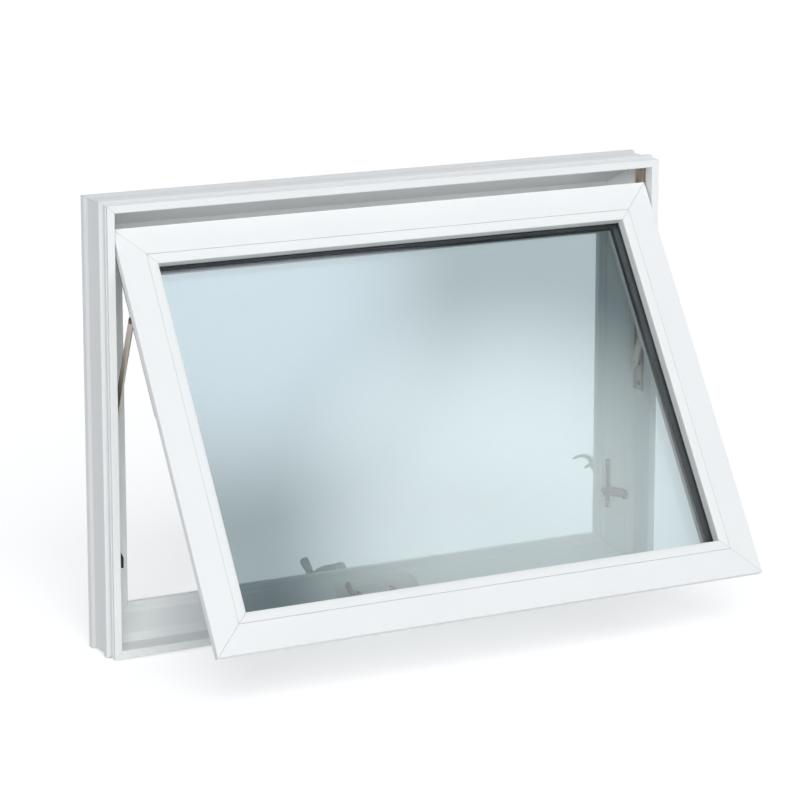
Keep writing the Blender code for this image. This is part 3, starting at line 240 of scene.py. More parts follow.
# %% Stainless, zinc plate, enamel and yellow zinc
ROLLING_GRAIN = 0.0006
stainless, tree, sockets, where = new_finish("stainless_strip_rolled", Metallic=1.0)
along = node(tree, "ShaderNodeMapping", Vector=where["Object"],
             Scale=(1 / ROLLING_GRAIN, 1 / ROLLING_GRAIN, 18.0))
grain = node(tree, "ShaderNodeTexNoise", Vector=along, Scale=1.0, Detail=3.0)
node(tree, "ShaderNodeMix", {"data_type": "RGBA"}, [sockets["Base_Color"]], Factor_Float=grain,
     A_Color=linear("#b3a899"), B_Color=linear("#cfc6ba"))
node(tree, "ShaderNodeMapRange", None, [sockets["Roughness"]], Value=grain, To_Min=0.30, To_Max=0.46)
node(tree, "ShaderNodeBump", None, [sockets["Normal"]], Height=grain, Distance=0.00002, Strength=0.4)

SPANGLE = 0.0022
zinc, tree, sockets, where = new_finish("zinc_plated_pressing", Metallic=0.85)
crystals = node(tree, "ShaderNodeTexVoronoi", Vector=where["Object"], Scale=1 / SPANGLE)
stain = node(tree, "ShaderNodeTexNoise", Vector=where["Object"], Scale=160.0, Detail=4.0)
mottle = node(tree, "ShaderNodeMath", {"operation": "MULTIPLY"}, Value=crystals, Value_001=stain)
node(tree, "ShaderNodeMix", {"data_type": "RGBA"}, [sockets["Base_Color"]], Factor_Float=mottle,
     A_Color=linear("#4f4a45"), B_Color=linear("#8b857d"))
node(tree, "ShaderNodeMapRange", None, [sockets["Roughness"]], Value=stain, To_Min=0.36, To_Max=0.56)
node(tree, "ShaderNodeBump", None, [sockets["Normal"]], Height=stain, Distance=0.00005, Strength=0.4)

ORANGE_PEEL = 0.0009
enamel, tree, sockets, where = new_finish(
    "enamelled_zinc_casting", IOR=1.5, Coat_Weight=0.3, Coat_Roughness=0.15)
peel = node(tree, "ShaderNodeTexNoise", Vector=where["Object"], Scale=1 / ORANGE_PEEL, Detail=1.0)
tone = node(tree, "ShaderNodeTexNoise", Vector=where["Object"], Scale=60.0, Detail=3.0)
node(tree, "ShaderNodeMix", {"data_type": "RGBA"}, [sockets["Base_Color"]], Factor_Float=tone,
     A_Color=linear("#cdd5d0"), B_Color=linear("#d9dfdb"))
node(tree, "ShaderNodeMapRange", None, [sockets["Roughness"]], Value=tone, To_Min=0.32, To_Max=0.45)
node(tree, "ShaderNodeBump", None, [sockets["Normal"]], Height=peel, Distance=0.00005, Strength=0.5)

yellow_zinc, tree, sockets, where = new_finish("yellow_zinc_screw", Metallic=1.0)
haze = node(tree, "ShaderNodeTexNoise", Vector=where["Object"], Scale=700.0, Detail=3.0)
node(tree, "ShaderNodeMix", {"data_type": "RGBA"}, [sockets["Base_Color"]], Factor_Float=haze,
     A_Color=linear("#8c8046"), B_Color=linear("#b6a86f"))
node(tree, "ShaderNodeMapRange", None, [sockets["Roughness"]], Value=haze, To_Min=0.28, To_Max=0.5)
node(tree, "ShaderNodeBump", None, [sockets["Normal"]], Height=haze, Distance=0.00003, Strength=0.4)
print("materials", stainless.name, zinc.name, enamel.name, yellow_zinc.name)

# %% [markdown]
# ## From numbers to a mesh
# Every new piece here is a grid: one ring of points for each station along it. A single function turns
# such a grid into a closed mesh, with a UV map that holds real metres along and round the piece.

# %% A skin over rings of points
SHARP = math.radians(24)


def put(name, mesh, material, body, slot, *replaced, smooth=True):
    """Makes the mesh an object with its finish, hangs it on the body that it rides on and hides the model
    parts that it replaces; the slot is not used.
    """
    made = bpy.data.objects.new(name, mesh)
    bpy.context.scene.collection.objects.link(made)
    mesh.materials.clear()
    mesh.materials.append(material)
    if smooth:
        mesh.shade_smooth()
        mesh.set_sharp_from_angle(angle=SHARP)
    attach(made, body)
    if replaced:
        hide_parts(*replaced)
    return made


def finish_solids(names, material):
    """Gives model solids that keep their own shape the finish of what they are."""
    for name in names:
        slots = frame["nodes"][name].data.materials
        slots.clear()
        slots.append(material)


def skin(name, rings, lengthways=None):
    """A closed mesh over rings of points, shape (stations, points, 3). Station i's point j joins point
    j + 1 of its own ring and point j of the next ring, and a flat face closes each end."""
    stations, count = rings.shape[:2]
    index = np.arange(stations * count).reshape(stations, count)
    near, far = index[:-1], index[1:]
    quads = np.stack([near, np.roll(near, -1, 1), np.roll(far, -1, 1), far], axis=-1).reshape(-1, 4)
    faces = quads.tolist() + [index[0][::-1].tolist(), index[-1].tolist()]
    mesh = bpy.data.meshes.new(name)
    mesh.from_pydata(rings.reshape(-1, 3), [], faces)
    full_ring = rings[1 if stations > 2 else 0]
    steps = np.linalg.norm(np.diff(full_ring, axis=0, append=full_ring[:1]), axis=-1)
    round_it = np.broadcast_to(np.concatenate([[0.0], np.cumsum(steps)[:-1]]), (stations, count))
    if lengthways is None:
        middle = rings.mean(axis=1)
        lengthways = np.concatenate([[0.0], np.cumsum(np.linalg.norm(np.diff(middle, axis=0), axis=-1))])
        lengthways = np.broadcast_to(lengthways[:, None], (stations, count))
    vertex_uv = np.stack([lengthways, round_it], axis=-1).reshape(-1, 2)
    corner = np.zeros(len(mesh.loops), dtype=np.int32)
    mesh.loops.foreach_get("vertex_index", corner)
    corner_uv = vertex_uv[corner].astype(np.float32)
    mesh.uv_layers.new(name="along_and_round").data.foreach_set("uv", corner_uv.ravel())
    face_outwards(mesh)
    return mesh


def face_outwards(mesh):
    """Turns every face of a closed mesh to look out of it."""
    bm = bmesh.new()
    bm.from_mesh(mesh)
    bmesh.ops.recalc_face_normals(bm, faces=bm.faces)
    bm.to_mesh(mesh)
    bm.free()


def softened_corners(points, radius, steps=3):
    """Each corner P becomes a short curve (1-t)^2 A + 2t(1-t) P + t^2 B, where A and B lie on its two
    sides, as far from P as an arc of this radius would start, but never past 0.45 of a side."""
    corner = np.asarray(points, float)
    back, ahead = np.roll(corner, 1, axis=0) - corner, np.roll(corner, -1, axis=0) - corner
    back_length, ahead_length = np.linalg.norm(back, axis=1), np.linalg.norm(ahead, axis=1)
    back, ahead = back / back_length[:, None], ahead / ahead_length[:, None]
    half = np.arccos(np.clip((back * ahead).sum(axis=1), -1, 1)) / 2
    arc_start = radius / np.maximum(np.tan(half), 1e-6)
    cut = np.minimum.reduce([arc_start, 0.45 * back_length, 0.45 * ahead_length])
    t = np.linspace(0, 1, steps + 1)[None, :, None]
    start, end = (corner + back * cut[:, None])[:, None], (corner + ahead * cut[:, None])[:, None]
    return ((1 - t) ** 2 * start + 2 * t * (1 - t) * corner[:, None] + t**2 * end).reshape(-1, 2)


print("helpers ready")

# %% [markdown]
# ## The frame extrusion
# All four bars of the fixed frame are one profile: a narrow outer lip, a step that the sash closes
# into, a flat deck that carries the hinge track, a pair of ridges, a long slope and a square flange on
# the room side. Its outer side has two raised ribs with a broad channel between them, which key into
# the foam in the wall. It could be modelled with a curve and a bevel object, but then the corners would
# not mitre. Instead each bar runs between the two mitre planes, so a point nearer the glass has a
# shorter run. Real corners are welded and then trimmed, which leaves a hair-fine groove at the mitre.

# %% Profile of the frame
LIP = 0.0105
DECK = 0.0080
RIDGE = 0.0205
SLOPE_INSET = 0.0370
FLANGE_INSET = 0.0506
FLANGE_FRONT = 0.0720
FRAME_DEPTH = 0.0826
frame_profile = softened_corners([
    (0.0, 0.0), (0.0, 0.0042), (0.0011, 0.0047), (0.0011, 0.0060), (-0.0004, 0.0065), (-0.0004, 0.0110),
    (0.0020, 0.0118), (0.0020, 0.0150), (-HUMP, 0.0205), (-HUMP, 0.0300), (-0.0004, 0.0325),
    (-0.0004, 0.0630), (-HUMP, 0.0690), (-HUMP, 0.0790), (-0.0006, FRAME_DEPTH),
    (FLANGE_INSET - 0.0012, FRAME_DEPTH), (FLANGE_INSET, FRAME_DEPTH - 0.0012),
    (FLANGE_INSET, FLANGE_FRONT + 0.0025), (FLANGE_INSET - 0.0015, FLANGE_FRONT + 0.0012),
    (FLANGE_INSET - 0.0070, FLANGE_FRONT + 0.0012), (FLANGE_INSET - 0.0078, FLANGE_FRONT),
    (SLOPE_INSET, FLANGE_FRONT), (RIDGE, 0.0500), (RIDGE - 0.0006, 0.0488), (RIDGE - 0.0018, 0.0484),
    (RIDGE - 0.0020, 0.0465), (DECK, 0.0400), (DECK, 0.0180), (LIP, 0.0175), (LIP, 0.0010),
    (LIP - 0.0010, 0.0),
], 0.0006)
print("frame profile", len(frame_profile), "points")

# %% [markdown]
# ## Carrying a profile along a side
# For the bar along the bottom, a profile point (e, d) sits at height e, depth d, and runs from
# x = -(half - e) to x = +(half - e). The other three sides swap the axes. Two extra stations just
# inside each mitre pull the outline in by a tenth of a millimetre: that is the trimmed weld.

# %% One mitred bar
MITRE_SLIP = 0.0002
WELD_GROOVE = 0.00014


def inwards(profile):
    """Unit vectors that point into the outline at each of its points."""
    following, leading = np.roll(profile, -1, axis=0), np.roll(profile, 1, axis=0)
    tangent = following - leading
    area = 0.5 * np.sum(profile[:, 0] * following[:, 1] - following[:, 0] * profile[:, 1])
    normal = np.stack([-tangent[:, 1], tangent[:, 0]], axis=1) * np.sign(area)
    return normal / np.maximum(np.linalg.norm(normal, axis=1, keepdims=True), 1e-9)


def bar(name, side, profile, inset, front, place):
    """Rings for one side of a mitred rectangle. Each ring is the outline, moved to its station."""
    half, low, high = HALF_WIDTH - inset, inset, LIP_HEIGHT - inset
    into = inwards(profile)
    rings, along_all = [], []
    for end, back, pull in ((-1, 0.0, 1), (-1, 1.0, 0), (1, 1.0, 0), (1, 0.0, 1)):
        e, d = (profile + into * WELD_GROOVE * pull).T
        trim = e + MITRE_SLIP + back * WELD_GROOVE
        if side in ("bottom", "top"):
            run = end * (half - trim)
            rings.append(place(run, front + d, low + e if side == "bottom" else high - e))
        else:
            run = low + trim if end < 0 else high - trim
            rings.append(place((-1 if side == "left" else 1) * (half - e), front + d, run))
        along_all.append(np.broadcast_to(run, e.shape))
    return skin(name, np.stack(rings), np.stack(along_all))


def even_shading(piece):
    """Weighs each corner's normal by face area, so that broad flats stay flat beside narrow curves."""
    weigh = piece.modifiers.new("even_shading", "WEIGHTED_NORMAL")
    weigh.keep_sharp = True
    weigh.weight = 80
    return piece


sides = {"bottom": "sill", "top": "head", "left": "jamb_left", "right": "jamb_right"}
bars = {}
for side, name in sides.items():
    mesh = bar(f"{name}_extrusion", side, frame_profile, 0.0, 0.0, in_frame)
    bars[side] = put(f"{name}_extrusion", mesh, pvc, "frame", "white_pvc", f"frame_{name}")
print("frame bars", {side: len(made.data.polygons) for side, made in bars.items()})

# %% [markdown]
# ## Cutting the pocket and the slots
# The sill has a long round-ended pocket routed into its slope, where the operator sits, and a drilled
# passage for the crank shaft. The right jamb has a slot for the lock. A router cuts those after the
# bar is extruded, so a Boolean is the honest tool, applied at once so that nothing live is left.

# %% Routed pocket, drilled passage and lock slot
def outline_ring(low_a, high_a, low_b, high_b, radius, steps=10):
    """A rectangle whose corners are quarter circles of this radius."""
    turn = np.linspace(0, np.pi / 2, steps + 1)
    quarters = [(high_a - radius, high_b - radius, 0), (low_a + radius, high_b - radius, 1),
                (low_a + radius, low_b + radius, 2), (high_a - radius, low_b + radius, 3)]
    arcs = [np.stack([a + radius * np.cos(turn + q * np.pi / 2),
                      b + radius * np.sin(turn + q * np.pi / 2)], axis=1)
            for a, b, q in quarters]
    return np.concatenate(arcs)


def boolean(piece, other_mesh, operation):
    """Joins or cuts with another closed mesh, and keeps only the result."""
    other = bpy.data.objects.new("tool", other_mesh)
    bpy.context.scene.collection.objects.link(other)
    modifier = piece.modifiers.new("cut", "BOOLEAN")
    modifier.operation, modifier.solver, modifier.object = operation, "EXACT", other
    bpy.context.view_layer.update()
    evaluated = piece.evaluated_get(bpy.context.evaluated_depsgraph_get())
    result = bpy.data.meshes.new_from_object(evaluated)
    piece.modifiers.remove(modifier)
    old, piece.data = piece.data, result
    bpy.data.meshes.remove(old)
    bpy.data.objects.remove(other)
    bpy.data.meshes.remove(other_mesh)
    result.shade_smooth()
    result.set_sharp_from_angle(angle=SHARP)
    return piece


def frame_ring(axis, level, outline):
    """An outline laid in the frame at a level along an axis: 'z' takes (x, depth), 'y' takes (x, height)."""
    a, b = outline.T
    return in_frame(a, b, np.full_like(a, level)) if axis == "z" else in_frame(a, np.full_like(a, level), b)


POCKET_ROOM = 0.0016
POCKET_FRONT = 0.0240
POCKET_REAR = 0.0700
POCKET_FLOOR = 0.0042
ABOVE_SILL = 0.055
pocket_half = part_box("operator_housing")[1][0] + POCKET_ROOM
pocket = outline_ring(-pocket_half, pocket_half, POCKET_FRONT, POCKET_REAR, 0.012)
pocket_rings = [frame_ring("z", level, pocket) for level in (POCKET_FLOOR, ABOVE_SILL)]
pocket_mesh = skin("pocket", np.stack(pocket_rings))
boolean(bars["bottom"], pocket_mesh, "DIFFERENCE")

shaft_axis = np.array(joints["crank_turn"]["axis"])
crank_centre = np.array(joints["crank_turn"]["pos_m"])
CRANK_AT = 0.0623


def about(centre, axis, radius, along, count=32):
    """Rings about an axis: centre + axis * s + r (u cos t + v sin t), with u and v square to the axis."""
    axis = np.asarray(axis, float) / np.linalg.norm(axis)
    u = np.cross(axis, [1.0, 0.0, 0.0] if abs(axis[0]) < 0.9 else [0.0, 1.0, 0.0])
    u /= np.linalg.norm(u)
    v = np.cross(axis, u)
    turn = np.arange(count) * 2 * np.pi / count
    spoke = np.cos(turn)[:, None] * u + np.sin(turn)[:, None] * v
    radius, along = np.atleast_1d(radius), np.atleast_1d(along)
    return centre + along[:, None, None] * axis + radius[:, None, None] * spoke[None]


PASSAGE_RADIUS = 0.0048
passage = skin("passage", about(crank_centre, shaft_axis, [PASSAGE_RADIUS, PASSAGE_RADIUS],
                                [-CRANK_AT - 0.010, -0.002]))
boolean(bars["bottom"], passage, "DIFFERENCE")

SLOT_LOW = 0.1070
SLOT_HIGH = 0.1290
SLOT_OUTER = 0.0383
SLOT_INNER = 0.0426
slot_ring = outline_ring(HALF_WIDTH - SLOT_INNER, HALF_WIDTH - SLOT_OUTER, SLOT_LOW, SLOT_HIGH, 0.0012, 4)
slot_mesh = skin("lock_slot", np.stack([frame_ring("y", depth, slot_ring) for depth in (0.068, 0.0866)]))
boolean(bars["right"], slot_mesh, "DIFFERENCE")
for made in bars.values():
    even_shading(made)
print("sill now has", len(bars["bottom"].data.polygons), "faces")

# %% [markdown]
# ## The sash and its glazing beads
# The sash is a deeper profile whose front overlaps the frame, with a rebate that holds the glass unit.
# A separate bead snaps into the rebate all round. From outside only their two faces show, with a fine
# line where they meet, and the bead's square nose returns towards the glass.

# %% Sash bars and beads
BEAD_INSET = 0.0375
SIGHT_INSET = 0.0510
BEAD_DEPTH = 0.0142
STOP_FRONT = 0.0402
SASH_DEPTH = 0.0520
OVERHANG = 0.0150
sash_profile = softened_corners([
    (0.0, 0.0008), (0.0008, 0.0), (BEAD_INSET - 0.0004, 0.0), (BEAD_INSET, 0.0004), (BEAD_INSET, STOP_FRONT),
    (SIGHT_INSET, STOP_FRONT), (SIGHT_INSET, SASH_DEPTH - 0.0040), (SIGHT_INSET - 0.0030, SASH_DEPTH),
    (OVERHANG + 0.0105, SASH_DEPTH), (OVERHANG, SASH_DEPTH - 0.0140), (OVERHANG, 0.0100), (0.0, 0.0100),
], 0.0005)
bead = BEAD_INSET + 0.0003
bead_profile = softened_corners([
    (bead, 0.0004), (bead + 0.0006, 0.0), (bead + 0.0088, 0.0004), (SIGHT_INSET - 0.0006, 0.0010),
    (SIGHT_INSET, 0.0018), (SIGHT_INSET, BEAD_DEPTH), (bead, BEAD_DEPTH),
], 0.0006)
rails = {"bottom": "sash_bottom_rail", "top": "sash_top_rail",
         "left": "sash_left_stile", "right": "sash_right_stile"}
for side, node_name in rails.items():
    mesh = bar(f"{node_name}_extrusion", side, sash_profile, SASH_EDGE, SASH_RECESS, on_sash)
    even_shading(put(mesh.name, mesh, pvc, "sash", "white_pvc", node_name))
    mesh = bar(f"bead_{side}_extrusion", side, bead_profile, SASH_EDGE, SASH_RECESS, on_sash)
    even_shading(put(mesh.name, mesh, pvc, "sash", "white_pvc", f"glazing_bead_{side}"))
print("sash bars and beads", len(rails) * 2)

# %% [markdown]
# ## Glass, spacer and rubber
# The glass unit's panes are plain slabs, and the model's own solids have that shape already, so they
# only take a finish. The rubbers are better as real extrusions: a round bulb on a flat base, carried
# round the same mitred rectangle.

# %% Finishes for the glass unit, and rubber extrusions
finish_solids(["outer_pane", "inner_pane"], glass)
finish_solids(["glazing_spacer"], spacer)

GLASS_EDGE = 0.0405
RUBBER = 0.0018
RUBBER_WIDTH = 0.0117
INNER_RUBBER_FRONT = 0.0381


def bulb(start, width, front, thickness, away):
    """A flat strip that ends in a half-round bulb: a rectangle whose far end is a semicircle."""
    turn = np.linspace(-np.pi / 2, np.pi / 2, 9)
    nose = np.stack([start + width - thickness / 2 + thickness / 2 * np.cos(turn),
                     front + thickness / 2 + away * thickness / 2 * np.sin(turn)], axis=1)
    return np.concatenate([[(start, front + (thickness if away < 0 else 0.0))], nose,
                           [(start, front + (0.0 if away < 0 else thickness))]])


def rubber_ring(name, profile, replaced):
    """Four mitred lengths as one piece of four closed shells, butted like the real strip."""
    shells = [bar(f"{name}_{side}", side, profile, SASH_EDGE, SASH_RECESS, on_sash) for side in sides]
    bm = bmesh.new()
    for shell in shells:
        bm.from_mesh(shell)
        bpy.data.meshes.remove(shell)
    mesh = bpy.data.meshes.new(name)
    bm.to_mesh(mesh)
    bm.free()
    return put(name, mesh, rubber, "sash", "black_rubber", replaced)


outer_bulb = bulb(GLASS_EDGE, RUBBER_WIDTH, BEAD_DEPTH + 0.0003, RUBBER, 1)
rubber_ring("outer_rubber_bulb", outer_bulb, "outer_glazing_gasket")
inner_bulb = bulb(GLASS_EDGE, RUBBER_WIDTH, INNER_RUBBER_FRONT, RUBBER, 1)
rubber_ring("inner_rubber_bulb", inner_bulb, "inner_glazing_gasket")
print("rubbers made")

# %% [markdown]
# ## Softened hardware
# Pressed and rolled steel has no truly sharp edge: shearing and tumbling leave a radius of a few tenths
# of a millimetre, and that thin highlight is what makes a strip read as metal. The model's solids have
# the right shape, so each is copied, its loose triangles are merged, its flat faces are rejoined, and a
# small bevel goes round every edge.

# %% A bevelled copy of a solid
def softened(names, material, slot, width, body):
    """Copies of model solids with their edges rounded to this width."""
    for name in names:
        mesh = frame["nodes"][name].data.copy()
        mesh.name = f"{name}_softened"
        bm = bmesh.new()
        bm.from_mesh(mesh)
        bmesh.ops.remove_doubles(bm, verts=bm.verts, dist=1e-6)
        bmesh.ops.dissolve_limit(bm, angle_limit=math.radians(2), verts=bm.verts, edges=bm.edges)
        bm.to_mesh(mesh)
        bm.free()
        made = put(mesh.name, mesh, material, body, slot, name)
        round_off = made.modifiers.new("worn_edges", "BEVEL")
        round_off.width, round_off.segments = width, 2
        round_off.limit_method, round_off.angle_limit = "ANGLE", math.radians(40)
        round_off.use_clamp_overlap = True
        even_shading(made)


for hand in ("left", "right"):
    softened([f"hinge_track_{hand}"], stainless, "stainless", 0.0002, "frame")
    softened([f"support_arm_{hand}"], stainless, "stainless", 0.0004, f"support_arm_{hand}")
    softened([f"sash_arm_{hand}"], stainless, "stainless", 0.0004, "sash")
    softened([f"drive_arm_{hand}"], zinc, "zinc_steel", 0.0003, f"drive_arm_{hand}")
    softened([f"link_arm_{hand}"], zinc, "zinc_steel", 0.0003, f"link_arm_{hand}")
    softened([f"hinge_shoe_{hand}"], acetal, "acetal", 0.0003, f"hinge_shoe_{hand}")
softened(["operator_cradle"], zinc, "zinc_steel", 0.0003, "operator_cradle")
softened(["operator_housing", "lock_case"], zinc, "zinc_steel", 0.0002, "frame")
softened(["sash_bracket", "lock_keeper"], zinc, "zinc_steel", 0.0002, "sash")
softened(["lock_hook"], zinc, "zinc_steel", 0.0003, "lock_hook")
softened(["operator_cover", "lock_mount"], enamel, "lever_paint", 0.0004, "frame")
print("softened hardware made")

# %% [markdown]
# ## The gear plate
# The operator's tray has a pressed plate over its gears, held by rivets and pierced for the springs and
# studs of the other hand. It is a flat blank with holes, so one rounded outline is given a thickness,
# and the holes are cut through it as a press would.

# %% Pressed plate and rivets
PLATE_LEVEL = 0.0120
PLATE_THICKNESS = 0.0011
up_axis = np.array([0.0, 0.0, 1.0])


def pressed(name, outline, level, thickness, holes):
    """A blank of this outline and thickness, with round holes given as (x, depth, radius)."""
    mesh = skin(name, np.stack([frame_ring("z", height, outline) for height in (level, level + thickness)]))
    piece = put(name, mesh, zinc, "frame", "zinc_steel")
    for x, depth, radius in holes:
        centre = in_frame(x, depth, level)
        punch = skin("hole", about(centre, up_axis, [radius, radius], [-0.002, 0.004], 24))
        boolean(piece, punch, "DIFFERENCE")
    return piece


right_blank = outline_ring(-0.0260, 0.0560, 0.0528, 0.0668, 0.0060)
right_holes = [(0.010, 0.0590, 0.0028), (0.034, 0.0600, 0.0020), (0.046, 0.0590, 0.0034),
               (-0.012, 0.0605, 0.0018)]
pressed("gear_plate_right", right_blank, PLATE_LEVEL, PLATE_THICKNESS, right_holes)
left_blank = outline_ring(-0.0580, -0.0460, 0.0380, 0.0600, 0.0050)
pressed("gear_plate_left", left_blank, PLATE_LEVEL, PLATE_THICKNESS, [(-0.0520, 0.0490, 0.0024)])
rivet_places = [(0.0225, 0.0625), (0.0010, 0.0615), (-0.0210, 0.0600), (0.0530, 0.0615)]
rivet_head = [(0.0024, 0.0), (0.0024, 0.0004), (0.0019, 0.0011), (0.0009, 0.0015), (0.0, 0.0016)]
radius, along = np.array(rivet_head).T
for number, (x, depth) in enumerate(rivet_places):
    foot_of_head = in_frame(x, depth, PLATE_LEVEL + PLATE_THICKNESS)
    rings = about(foot_of_head, up_axis, np.maximum(radius, 1e-5), along, 20)
    put(f"plate_rivet_{number + 1}", skin("plate_rivet", rings), zinc, "frame", "zinc_steel")
print("gear plates and rivets made")

# %% [markdown]
# ## The small solids
# Rivets, gears, screws and blocks keep the model's own shape, and take the finish of what they are.

# %% Finishes for the small solids that keep their own shape
plain = {
    zinc: ["arm_rivet_left", "arm_rivet_right", "elbow_rivet_left", "elbow_rivet_right", "hub_gear_left",
           "hub_gear_right", "worm_shaft", "crank_set_screw", "track_screw_left_1", "track_screw_left_2",
           "track_screw_right_1", "track_screw_right_2"],
    yellow_zinc: ["lock_screw_1", "lock_screw_2"],
    acetal: ["setting_block_left", "setting_block_right", "sash_guide"],
    rubber: ["sash_seal"],
}
for finish, names in plain.items():
    finish_solids(names, finish)
print("solids finished", sum(len(names) for names in plain.values()))

# %% [markdown]
# ## The crank
# The crank is one casting: a domed hub over the shaft, an arm that arches away and thins, and a pin
# for the knob. A casting has no hard edges, so its arm is a loft of ovals along an arched line. The
# hub is a turned shape. A Boolean union joins them, as the metal is joined in the mould.

# %% Hub, arm and knob
away = np.array([-1.0, 0.0, 0.0])
over = np.cross(shaft_axis, away)
REACH = abs(joints["knob_spin"]["pos_m"][0] - crank_centre[0])
HUB_RADIUS = 0.0090
ARM_START = 0.0030
ARM_PAST_PIN = 0.0025
PIN_RADIUS = 0.0021
BORE_RADIUS = 0.0034


def lathe(name, profile, centre, axis, count=40):
    """A turned piece: each (radius, distance) pair of the profile is one ring about the axis."""
    radius, along = np.array(profile).T
    return skin(name, about(centre, axis, np.maximum(radius, 1e-5), along, count))


def dome(radius, low, high, steps=10):
    """A profile that goes straight up the side and over a quarter of an ellipse to the middle."""
    turn = np.linspace(0, np.pi / 2 - 0.02, steps)
    return [(radius, low)] + list(zip(radius * np.cos(turn), high - radius * 0.7 * (1 - np.sin(turn))))


hub = lathe("crank_casting", dome(HUB_RADIUS, -0.0047, 0.0094), crank_centre, shaft_axis)
crank = put("crank_casting", hub, enamel, "crank", "lever_paint", "crank_handle")


def oval_loft(name, centres, sideways, widths, thicknesses, normals, power=2.6, count=20):
    """Ovals |a|^p + |b|^p = 1 along a line of centres. Each has its own width and thickness."""
    turn = np.arange(count) * 2 * np.pi / count
    a = np.sign(np.cos(turn)) * np.abs(np.cos(turn)) ** (2 / power)
    b = np.sign(np.sin(turn)) * np.abs(np.sin(turn)) ** (2 / power)
    rings = (centres[:, None] + widths[:, None, None] * a[None, :, None] * sideways
             + thicknesses[:, None, None] * b[None, :, None] * normals[:, None])
    return skin(name, rings)


share = np.linspace(0, 1, 17)
reach = ARM_START + (REACH + ARM_PAST_PIN - ARM_START) * share
rise = 0.0026 + 0.0038 * np.sin(np.pi * share) - 0.0085 * share**2
centres = crank_centre + reach[:, None] * away + rise[:, None] * shaft_axis
slope = np.gradient(centres, axis=0)
slope /= np.linalg.norm(slope, axis=1, keepdims=True)
normals = np.cross(slope, over)
end_round = np.sqrt(np.clip(1 - np.clip((share - 0.93) / 0.075, 0, 1) ** 2, 0.02, 1))
widths = (0.0066 - 0.0018 * share) * end_round
thicknesses = (0.0030 - 0.0006 * share) * end_round
arm = oval_loft("arm", centres, over, widths, thicknesses, normals)
boolean(crank, arm, "UNION")
pin_centre = crank_centre + REACH * away
pin = lathe("pin", [(PIN_RADIUS, -0.0055), (PIN_RADIUS, 0.0160)], pin_centre, shaft_axis, 24)
boolean(crank, pin, "UNION")
bore = lathe("bore", [(BORE_RADIUS, -0.0060), (BORE_RADIUS, 0.0050)], crank_centre, shaft_axis, 32)
boolean(crank, bore, "DIFFERENCE")

foot = 0.0018
top = 0.0248
shoulder = 0.0018
knob_profile = [(0.0024, foot), (0.0042, foot), (0.0046, foot + 0.0003), (0.0049, foot + 0.0012)]
for share_up in np.linspace(0.1, 1, 8):
    swell = 0.0062 - 0.0014 * (1 - share_up) ** 2
    knob_profile.append((swell, foot + 0.0012 + (top - shoulder - foot - 0.0012) * share_up))
turn = np.linspace(0, np.pi / 2, 7)[1:]
knob_profile += list(zip(0.0044 + shoulder * np.cos(turn), top - shoulder + shoulder * np.sin(turn)))
knob_profile += [(0.0020, top + 0.0001), (0.0, top + 0.0001), (0.0, 0.0170), (0.0024, 0.0170)]
radius, along = np.array(knob_profile).T
rings = about(pin_centre, shaft_axis, np.maximum(radius, 0.00002), along, 36)
knob = put("knob_casting", skin("knob_casting", rings), enamel, "knob", "lever_paint", "crank_knob")
print("crank faces", len(crank.data.polygons), "knob faces", len(knob.data.polygons))

# %% [markdown]
# ## The lock lever
# The lever is a small casting too. Its blade leaves a round hub and sweeps into the room while it
# thins, and a short prong below gives the thumb something to push. Both are ovals along a curved line.
# The blade rises only a little, so that it clears the jamb when the lever is turned up by 75 degrees.

# %% Lever
lever_pin = np.array(joints["lock_lever_turn"]["pos_m"])
lever_box = [np.array(corner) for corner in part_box("lock_lever")]
middle_x = (lever_box[0][0] + lever_box[1][0]) / 2
half_x = (lever_box[1][0] - lever_box[0][0]) / 2
into_room = np.array([0.0, 1.0, 0.0])
upwards = np.array([0.0, 0.0, 1.0])
sideways = np.array([1.0, 0.0, 0.0])
lever_centre = np.array([middle_x, lever_pin[1], lever_pin[2]])
lever_hub = [(0.0052, -half_x), (0.0055, -half_x + 0.0004), (0.0055, half_x - 0.0004), (0.0052, half_x)]
lever_mesh = lathe("lever_casting", lever_hub, lever_centre, sideways, 36)
lever = put("lever_casting", lever_mesh, enamel, "lock_lever", "lever_paint", "lock_lever")


def swept(name, start, bend, end, widths, thicknesses, steps=15):
    """Ovals along the curve (1-t)^2 A + 2t(1-t) B + t^2 C, with a rounded far end."""
    t = np.linspace(0, 1, steps)[:, None]
    centres = (1 - t) ** 2 * start + 2 * t * (1 - t) * bend + t**2 * end
    slope = np.gradient(centres, axis=0)
    slope /= np.linalg.norm(slope, axis=1, keepdims=True)
    share = t[:, 0]
    round_end = np.sqrt(np.clip(1 - np.clip((share - 0.9) / 0.105, 0, 1) ** 2, 0.03, 1))
    grow = [(pair[0] + (pair[1] - pair[0]) * share) * round_end for pair in (widths, thicknesses)]
    return oval_loft(name, centres, sideways, grow[0], grow[1], np.cross(slope, sideways))


def from_pin(out, up):
    """A place in the lever's own plane, measured from its pin."""
    return lever_centre + out * into_room + up * upwards


blade = swept("blade", from_pin(0.001, 0.001), from_pin(0.022, 0.018), from_pin(0.0595, -0.004),
              (half_x, 0.0034), (0.0040, 0.0015))
boolean(lever, blade, "UNION")
prong = swept("prong", from_pin(0.001, 0.002), from_pin(0.012, 0.001), from_pin(0.0250, -0.0090),
              (half_x * 0.9, 0.0026), (0.0034, 0.0013))
boolean(lever, prong, "UNION")
pin_hole = lathe("pin_hole", [(0.0021, -0.02), (0.0021, 0.02)], lever_centre, sideways, 24)
boolean(lever, pin_hole, "DIFFERENCE")
print("lever faces", len(lever.data.polygons))

# %% [markdown]
# ## The camera
# A long lens stands outside, left of the window and a little above it, and looks across the open sash.
# A small downward shift keeps the uprights nearly parallel without tipping the camera further.

